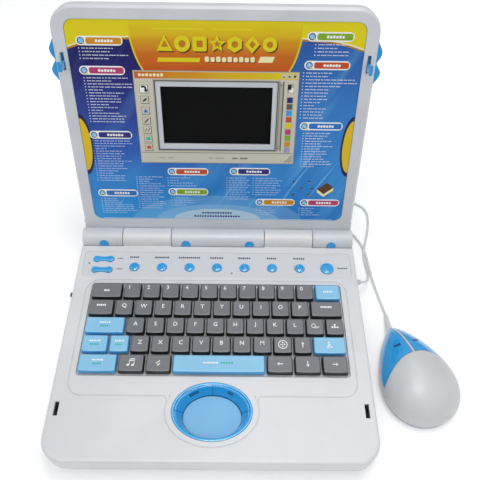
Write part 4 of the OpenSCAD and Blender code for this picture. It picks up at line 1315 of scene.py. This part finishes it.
def add_title(art):
    """The title's shield, with plain shapes in place of its wording."""
    edge = [tuple(p) for p in smooth_path(SHIELD_EDGE, 3)]
    mirrored = [(-x, y) for x, y in edge]
    art.patch(edge[::-1] + mirrored, 3, "shield")
    for line in (edge, mirrored):
        art.patch(ribbon(line, 1.3), 4, "yellow")
    for x0, x1 in ((-52, -10), (-2, 30)):
        art.patch(rect(x0, x1, 201.6, 203), 4, "yellow")
    for place, outline in enumerate(title_shapes()):
        cx = TITLE_X0 + place * TITLE_PITCH
        for size, dx, dy, layer, paint in (
            (1, 1, -1.1, 5, "brown"), (1, 0, 0, 6, "yellow"), (0.45, 0, 0, 7, "amber")
        ):
            placed = [(cx + dx + x * size, TITLE_Y + dy + y * size) for x, y in outline]
            art.patch(placed, layer, paint)
    art.patch([(-49, 175.5), (-48, 179), (-13, 179), (-14, 175.5)], 5, "yellow")
    art.words((12.4, 177.2), 42.8, 4.4, 9, 5, "rust")
    art.words((11.6, 178), 42.8, 4.4, 9, 6, "cream")
    art.patch([(35, 175.6), (37, 180.6), (49, 180.6), (47, 175.6)], 5, "cream")


WINDOW = (-70.5, 70.5, 80.8, 167.9)
SCREEN = (-52.6, 52.6, 94.7, 158.7)
PALETTE = ["navy", "olive", "sky", "red", "yellow", "magenta", "green", "orange", "lilac"]
SWATCH_X = (60.9, 66.6)
SCROLL_X = 57.2  # right side of the scroll bar
TOOL_X = -62.3
TOOL_YS = (151.6, 141.9, 131.9, 122.5, 113.7, 105.1, 96.5)


def frame_patch(art, box, width, layer, paint):
    """A rectangular frame outside a box, as four bars."""
    x0, x1, y0, y1 = box
    for bar in (
        (x0 - width, x0, y0 - width, y1 + width), (x1, x1 + width, y0 - width, y1 + width),
        (x0, x1, y1, y1 + width), (x0, x1, y0 - width, y0),
    ):
        art.patch(rect(*bar), layer, paint)


def add_window(art):
    """A drawing program's window round the screen: title bar, tools, colours, status bar."""
    x0, x1, y0, y1 = WINDOW
    sx0, sx1, sy0, sy1 = SCREEN
    for bar in ((x0, sx0, y0, y1), (sx1, x1, y0, y1), (sx0, sx1, y0, sy0), (sx0, sx1, sy1, y1)):
        art.patch(rect(*bar), 5, "beige")
    frame_patch(art, (x0 + 0.5, x1 - 0.5, y0 + 0.5, y1 - 0.5), 0.6, 6, "sand")
    art.patch(rect(x0 + 1.2, x1 - 1.2, 161.2, y1 - 0.9), 6, "title_bar")
    art.words((x0 + 15, 164.2), 22, 2.6, 7, 7, "cream")
    for k in range(3):
        left = 55.5 + 4.7 * k
        art.patch(rect(left, left + 3.9, 162.2, 166), 7, "beige")
        art.patch(rect(left + 1, left + 2.9, 163.2, 163.9 + 0.6 * k), 8, "black")
    frame_patch(art, SCREEN, 0.9, 7, "olive")
    frame_patch(art, (sx0 - 0.9, sx1 + 0.9, sy0 - 0.9, sy1 + 0.9), 0.9, 6, "sand")
    add_scroll_bar(art)
    add_colour_box(art)
    add_tool_icons(art)
    art.patch(rect(x0 + 1.2, x1 - 1.2, 91.1, 91.6), 6, "olive")
    for left, wide in ((-54, 6), (-46, 6), (-8, 4), (-2, 8), (14, 5), (21, 7)):
        art.patch(rect(left, left + wide, 85.4, 86.5), 6, "sand" if left < 0 else "olive")
    for k in range(4):
        corner = [(x1 - 2.6 - 2 * k, y0 + 1.4), (x1 - 1.4, y0 + 2.6 + 2 * k)]
        art.patch(ribbon(corner, 0.5), 6, "olive")


def add_scroll_bar(art):
    """Scroll bar along the screen's right side."""
    _, left, low, high = SCREEN
    art.patch(rect(left + 1.8, SCROLL_X, low, high), 6, "sand")
    art.patch(rect(left + 1.5, left + 2, low - 1, high + 1), 7, "olive")
    art.patch(rect(SCROLL_X, SCROLL_X + 1, low - 1, high + 1), 7, "olive")
    for y in (low + 1, high - 3.6):
        art.patch(rect(left + 2, SCROLL_X - 0.2, y, y + 2.6), 7, "sand")
        art.patch([(54.9, y + 0.7), (56.2, y + 0.7), (55.55, y + 1.9)], 8, "black")


def add_colour_box(art):
    """The colours to pick from, and the two picked ones above them."""
    x0, x1 = SWATCH_X
    for k, paint in enumerate(PALETTE):
        y = 143 - 6 * k
        art.patch(rect(x0, x1, y - 2.85, y + 2.85), 6, "sand")
        art.patch(rect(x0 + 0.4, x1 - 0.4, y - 2.45, y + 2.45), 7, paint)
    art.patch(rect(x0, x1, 149.5, 157.5), 6, "sand")
    art.patch(rect(x0 + 0.4, 64.4, 152.5, 157.1), 8, "black")
    art.patch(rect(62.9, x1 - 0.4, 149.9, 154.3), 7, "white")


def add_tool_icons(art):
    """Seven tool buttons down the window's left side."""
    x = TOOL_X
    for k, y in enumerate(TOOL_YS):
        art.patch(rect(x - 3.7, x + 3.7, y - 3.7, y + 3.7), 6, "olive")
        art.patch(rect(x - 3.4, x + 3.1, y - 3.1, y + 3.4), 7, "beige" if k else "white")
    curve = [tuple(p) for p in smooth_path([(-64.6, 153.8), (-61.4, 153.6), (-60.6, 150.6)], 4)]
    art.patch(ribbon(curve, 1.7), 8, "black")
    art.patch([(-62.6, 150.9), (-58.6, 150.9), (-60.6, 148.6)], 8, "black")
    marks = [
        ("mark", turned_outline(ellipse(x, 141.9, 2.4, 0.9, 14), (x, 141.9), 40)),
        ("blue", [(x - 2, 130.2), (x + 2, 130.2), (x, 134.2)]),
        ("brown", turned_outline(rect(x - 2.5, x + 2.5, 121.9, 123.1), (x, 122.5), 45)),
        ("mark", ribbon([(x - 2.2, 112.2), (x - 0.6, 115), (x + 0.6, 112.6), (x + 2.2, 115.2)], 0.7)),
        ("teal", rect(x - 2, x + 2, 103.6, 106.6)),
        ("red", ellipse(x, 96.5, 2.2, 1.7, 18)),
    ]
    for paint, outline in marks:
        art.patch(outline, 8, paint)


def add_pill(art, left, top, paint):
    """A heading: a white bar, a round lens at its left end and a coloured field with blocks."""
    wide, high = PILL_SIZE
    middle = top - high / 2
    art.patch(rounded(left, left + wide, top - high, top, high / 2, 6), 9, "white")
    field = rounded(left + 8.2, left + wide - 1.1, middle - 2.7, middle + 2.7, 1.6, 3)
    art.patch(field, 10, paint)
    art.words((left + 23.2, middle), 15, 2.3, 6, 11, "white")
    at = (left + 4.1, middle)
    for r, colour, layer in ((2.9, "ring", 10), (2.1, "lens", 11)):
        art.patch(ellipse(*at, r, r, 24), layer, colour)
    handle = rect(at[0] + 1.8, at[0] + 4.4, at[1] - 0.5, at[1] + 0.5)
    art.patch(turned_outline(handle, at, -45), 12, "yellow")


def add_list(art, left, top, pitch, lengths, chance):
    """Lines of small print as dashes of uneven length."""
    paint = "print" if top > 110 else "ice"
    for row, length in enumerate(lengths):
        y = top - row * pitch
        art.patch(rect(left - 2.6, left - 1.7, y - 0.4, y + 0.4), 2, paint)
        x = left
        while x < left + length - 1.2:
            dash = min(chance.uniform(1.6, 5.4), left + length - x)
            letters = max(1, round(dash / 0.95))
            art.words((x + dash / 2, y), dash, LINE_H, letters, 2, paint)
            x += dash + 0.75


def add_side_ovals(art):
    """Half ovals on the sheet's side edges: yellow with a navy outline."""
    for side in (-1, 1):
        for rx, ry, layer, paint in ((9.4, 30.5, 2, "deep"), (7.6, 26.2, 3, "gold")):
            half = ellipse(0, 98, rx, ry, 22, -90, 90)
            art.patch([(side * (SHEET_HALF - x), y) for x, y in half], layer, paint)


def add_foot(art):
    """Pale tab at the foot of the sheet, the pale line along its edge as a painted highlight, and the book.
    """
    tab = ellipse(-1, 17.8, 42.9, 12, 30, 0, 180)
    art.patch(tab, 2, "pale")
    art.words((-1, 25.2), 30, 1.9, 12, 3, "navy")
    art.words((-1, 21.3), 46, 1.9, 18, 3, "navy")
    # Painted highlight: the sheet's lower edge catching the light, drawn as a thin pale line
    art.patch(rect(-114, 114, 17.6, 18.3), 4, "pale")
    art.patch([(95.5, 50.3), (102.2, 45), (102.2, 48.2), (95.5, 53.5)], 3, "cream")
    art.patch([(102.2, 45), (111.2, 52.3), (111.2, 55.5), (102.2, 48.2)], 3, "cream")
    art.patch([(95.5, 53.5), (102.2, 48.2), (111.2, 55.5), (104.5, 60.8)], 4, "brown")


# Middle, length and width of each streak of light
RAYS = [
    (74, 60, 60, 1.6), (84, 84, 48, 1.1), (99, 62, 52, 1.4), (62, 38, 34, 1.2),
    (-30, 68, 22, 1.0), (8, 46, 30, 1.2), (28, 30, 44, 1.4), (-96, 34, 30, 1.0),
]
RAY_LEAN = 58


def add_rays(art):
    """Slender streaks of light that lean to the right."""
    for x, y, length, width in RAYS:
        streak = [(-length / 2, 0), (0, -width / 2), (length / 2, 0), (0, width / 2)]
        placed = [(x + along, y + across) for along, across in streak]
        art.patch(turned_outline(placed, (x, y), RAY_LEAN), 1, "ray")


def add_panel_art():
    art = Print()
    chance = random.Random(7)
    add_rays(art)
    add_top_band(art)
    add_title(art)
    add_window(art)
    for left, top, pitch, lengths in LISTS:
        add_list(art, left, top, pitch, lengths, chance)
    for pill in PILLS:
        add_pill(art, *pill)
    add_side_ovals(art)
    add_foot(art)
    art.build("panel_print", "lid", "printed_sheet", smooth_angle=20)


add_panel_art()


# ---- Mouse ----

MOUSE_NOSE = (163.5, 15.5)
MOUSE_TURN = math.radians(17)
MOUSE_L, MOUSE_W, MOUSE_H = 95, 67, 33
MOUSE_BASE = 6
MOUSE_PEAK = 0.58
MOUSE_SKIN = 2
MOUSE_TRAVEL = 0.8
MOUSE_SKIRT = 10.5  # where the buttons' lower edges lie
SPLIT_HALF = 0.9
BUTTON_FRONT = 36.5
BUTTON_TAIL = 15
MOUSE_STEPS = (40, 44)  # across and along the dome
ROUND_STEPS = 24
RELIEF_TIP = Vector((163.6, 30, 2.8))
RELIEF_ROOT = Vector((163.4, 12, 6.5))
MOUSE = Matrix.Translation((*MOUSE_NOSE, 0)) @ Matrix.Rotation(MOUSE_TURN, 4, "Z")


def egg_half(part):
    """Half width of the mouse at a part of its length."""
    return MOUSE_W / 2 * math.sqrt(max(0, 1 - (2 * part**1.6 - 1) ** 2))


def ridge_z(part):
    front = part < MOUSE_PEAK
    run = 1 - part / MOUSE_PEAK if front else (part - MOUSE_PEAK) / (1 - MOUSE_PEAK)
    rise = max(0, 1 - run**2.3) ** (0.6 if front else 0.5)
    return MOUSE_BASE + (MOUSE_H - MOUSE_BASE) * rise


def dome_z(x, along):
    """Height of the mouse's outside at a distance from its middle line and from its nose."""
    part = along / MOUSE_L
    return MOUSE_BASE + (ridge_z(part) - MOUSE_BASE) * math.sqrt(1 - (x / egg_half(part)) ** 2)


def dome(inset, foot, material):
    """Closed egg-shaped dome, its skin inset from the mouse's outside."""
    across, along = MOUSE_STEPS
    first = 0.004 + inset / MOUSE_L
    last = 0.996 - inset / MOUSE_L
    shape = Shape(MOUSE)
    rings = []
    for k in range(along + 1):
        part = first + (last - first) * (1 - math.cos(math.pi * k / along)) / 2
        half = max(0.6, egg_half(part) - inset)
        rise = ridge_z(part) - inset - MOUSE_BASE
        arc = ellipse(0, MOUSE_BASE, half, rise, across, 0, 180)
        outline = [(half * 0.96, foot)] + arc + [(-half * 0.96, foot)]
        rings.append([(x, -MOUSE_L * part, z) for x, z in outline])
    shape.loft(rings, material)
    return shape.build("dome", "mouse", "mouse_shell")


def button_block(side, gap, low):
    """Upright block over one mouse button's area."""
    near, far = SPLIT_HALF + gap, MOUSE_W / 2 + 2
    edge = []
    for k in range(ROUND_STEPS + 1):
        x = near + (far - near) * k / ROUND_STEPS
        edge.append((x, -BUTTON_FRONT - BUTTON_TAIL * (x / 30) ** 2.2 + gap))
    outline = [(side * x, y) for x, y in [(near, 4)] + edge + [(far, 4)]]
    shape = Shape(MOUSE)
    shape.prism(outline, low, MOUSE_H + 3, MATERIALS["mouse"])
    return shape.build("block", "mouse", "mouse_shell")


def relief_shape(grow, name="relief"):
    """Tapered sleeve of the cord, from its thin end to its root in the mouse."""
    axis = RELIEF_ROOT - RELIEF_TIP
    length = axis.length
    turn = axis.to_track_quat("Z", "Y").to_matrix().to_4x4()
    shape = Shape(Matrix.Translation(RELIEF_TIP) @ turn)
    ribs = []
    for k in range(ROUND_STEPS + 1):
        share = k / ROUND_STEPS
        z = -1.4 + (length + 1.4) * share
        r = 2.0 + 1.2 * share + grow
        groove = 0.35 if k % 4 == 0 and 0 < k < 20 and not grow else 0
        ribs += [(r - groove, z - 0.28), (r - groove, z + 0.28)]
    shape.turned([(1.5 + grow, -1.9)] + ribs, (0, 0), MATERIALS["cord"], 28)
    return shape.build(name, "mouse", "cord_jacket")


def cut(target, tools, operation="DIFFERENCE"):
    """Applies boolean cuts to a piece and removes the tools."""
    for tool in tools:
        step = target.modifiers.new("cut", "BOOLEAN")
        step.operation = operation
        step.solver = "EXACT"
        step.object = tool
    bpy.context.view_layer.update()
    seen = target.evaluated_get(bpy.context.evaluated_depsgraph_get())
    mesh = bpy.data.meshes.new_from_object(seen)
    target.modifiers.clear()
    target.data = mesh
    for tool in tools:
        bpy.data.objects.remove(tool)


def add_mouse_mark(name, side, material):
    """A small word's place on a mouse button, taken by four blocks."""
    mark = Shape(MOUSE)
    width, pitch, first, last = 1.1, 1.5, 24, 26.2
    for k in range(4):
        x0 = side * 9 + (k - 2) * pitch
        corners = rect(x0, x0 + width, first, last)
        rings = [[(x, -along, dome_z(x, along) + lift) for x, along in corners] for lift in (-0.4, 0.04)]
        mark.loft(rings, material)
    mark.build(name + "_mark", name, "blue_plastic")


def add_mouse():
    shell = dome(0, MOUSE_BASE - 1, MATERIALS["mouse"])
    cut(shell, [
        dome(MOUSE_SKIN, MOUSE_BASE - 2, MATERIALS["mouse"]),
        button_block(-1, 0, MOUSE_SKIRT),
        button_block(1, 0, MOUSE_SKIRT),
        relief_shape(0.15),
    ])
    shell.name = "mouse_dome"
    finish_piece(shell, "mouse", 32, replaces=["mouse_top_shell"])
    for side, name in ((-1, "mouse_left_button"), (1, "mouse_right_button")):
        button = dome(0, MOUSE_BASE - 1, MATERIALS["blue"])
        cut(button, [button_block(side, 0.3, MOUSE_SKIRT + MOUSE_TRAVEL + 0.3)], "INTERSECT")
        cut(button, [dome(MOUSE_SKIN, MOUSE_BASE - 2, MATERIALS["blue"]), relief_shape(1.1)])
        button.name = name + "_cap"
        finish_piece(button, name, 32, replaces=[name])
        add_mouse_mark(name, side, INK["deep"])
    relief_shape(0, "mouse_cord_sleeve")
    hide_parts("mouse_strain_relief")


add_mouse()


# ---- Cord gland ----


def add_gland():
    """Stepped rubber gland where the mouse's cord leaves the base."""
    gland = Shape(Matrix.Translation((135, 62, 15)) @ Matrix.Rotation(math.radians(90), 4, "Y"))
    profile = [
        (3.2, -4.4), (4, -4.4), (4, -2.4), (3.2, -2.4), (3.2, 0.02), (3.7, 0.02), (3.7, 0.7),
        (3.3, 0.9), (3.3, 1.6), (3.1, 1.8), (2.6, 1.8), (2.6, 2.3), (2.9, 2.3), (2.8, 3.2),
        (2.4, 3.2), (2.4, 3.7), (2.6, 3.7), (2.5, 4.6), (2.2, 4.6), (2.2, 5), (2.3, 5), (2.1, 6),
        (1.6, 6.1),
    ]
    gland.turned(profile, (0, 0), MATERIALS["cord"], 32)
    gland.build("gland_rubber", "base", "cord_jacket", replaces=["cord_gland"])


add_gland()


# ---- Floor and light ----

FLOOR_HALF = 3


def add_floor():
    mesh = bpy.data.meshes.new("floor")
    corners = [(x, y, 0) for x, y in rect(-FLOOR_HALF, FLOOR_HALF, -FLOOR_HALF, FLOOR_HALF)]
    mesh.from_pydata(corners, [], [(0, 1, 2, 3)])
    floor = bpy.data.objects.new("floor", mesh)
    bpy.context.scene.collection.objects.link(floor)
    paint = Paint("floor_paper", 0.9, Emission_Color=(1, 1, 1, 1), Emission_Strength=0.12)
    fine = paint.noise(40, detail=2)
    paint.colour(paint.ramp(fine, [(0.0, "#f6f6f6"), (1.0, "#fafafa")]))
    mesh.materials.append(paint.material)


def add_light(name, place, aim, size, power):
    data = bpy.data.lights.new(name, "AREA")
    data.size = size
    data.energy = power
    light = bpy.data.objects.new(name, data)
    light.location = place
    light.rotation_mode = "QUATERNION"
    light.rotation_quaternion = (Vector(aim) - Vector(place)).to_track_quat("-Z", "Y")
    bpy.context.scene.collection.objects.link(light)
    return light


def add_studio():
    """Soft light from overhead, with a sky that darkens towards the horizon."""
    world = bpy.data.worlds.new("studio")
    world.use_nodes = True
    tree = world.node_tree
    background = tree.nodes["Background"]
    background.inputs["Strength"].default_value = 0.8
    where = tree.nodes.new("ShaderNodeTexCoord")
    apart = tree.nodes.new("ShaderNodeSeparateXYZ")
    ramp = tree.nodes.new("ShaderNodeValToRGB")
    ramp.color_ramp.elements[0].color = (0.42, 0.43, 0.45, 1)
    ramp.color_ramp.elements[1].color = (0.98, 0.99, 1.0, 1)
    tree.links.new(where.outputs["Generated"], apart.inputs[0])
    tree.links.new(apart.outputs["Z"], ramp.inputs["Fac"])
    tree.links.new(ramp.outputs["Color"], background.inputs["Color"])
    bpy.context.scene.world = world
    add_light("top", (0.25, 0.35, 1.5), (0, 0.05, 0.05), 0.6, 6.2)
    glint = add_light("glint", (0, -0.25, 1.4), (0, -0.07, 0.03), 0.35, 10)
    glint.visible_diffuse = False
    add_light("key", (-0.55, -0.55, 1.25), (0, 0.05, 0.1), 0.8, 3.4)
    add_light("fill", (0.7, -0.8, 0.8), (0, 0.1, 0.15), 0.9, 1.5)
    bpy.context.scene.view_settings.view_transform = "Standard"


add_floor()
add_studio()
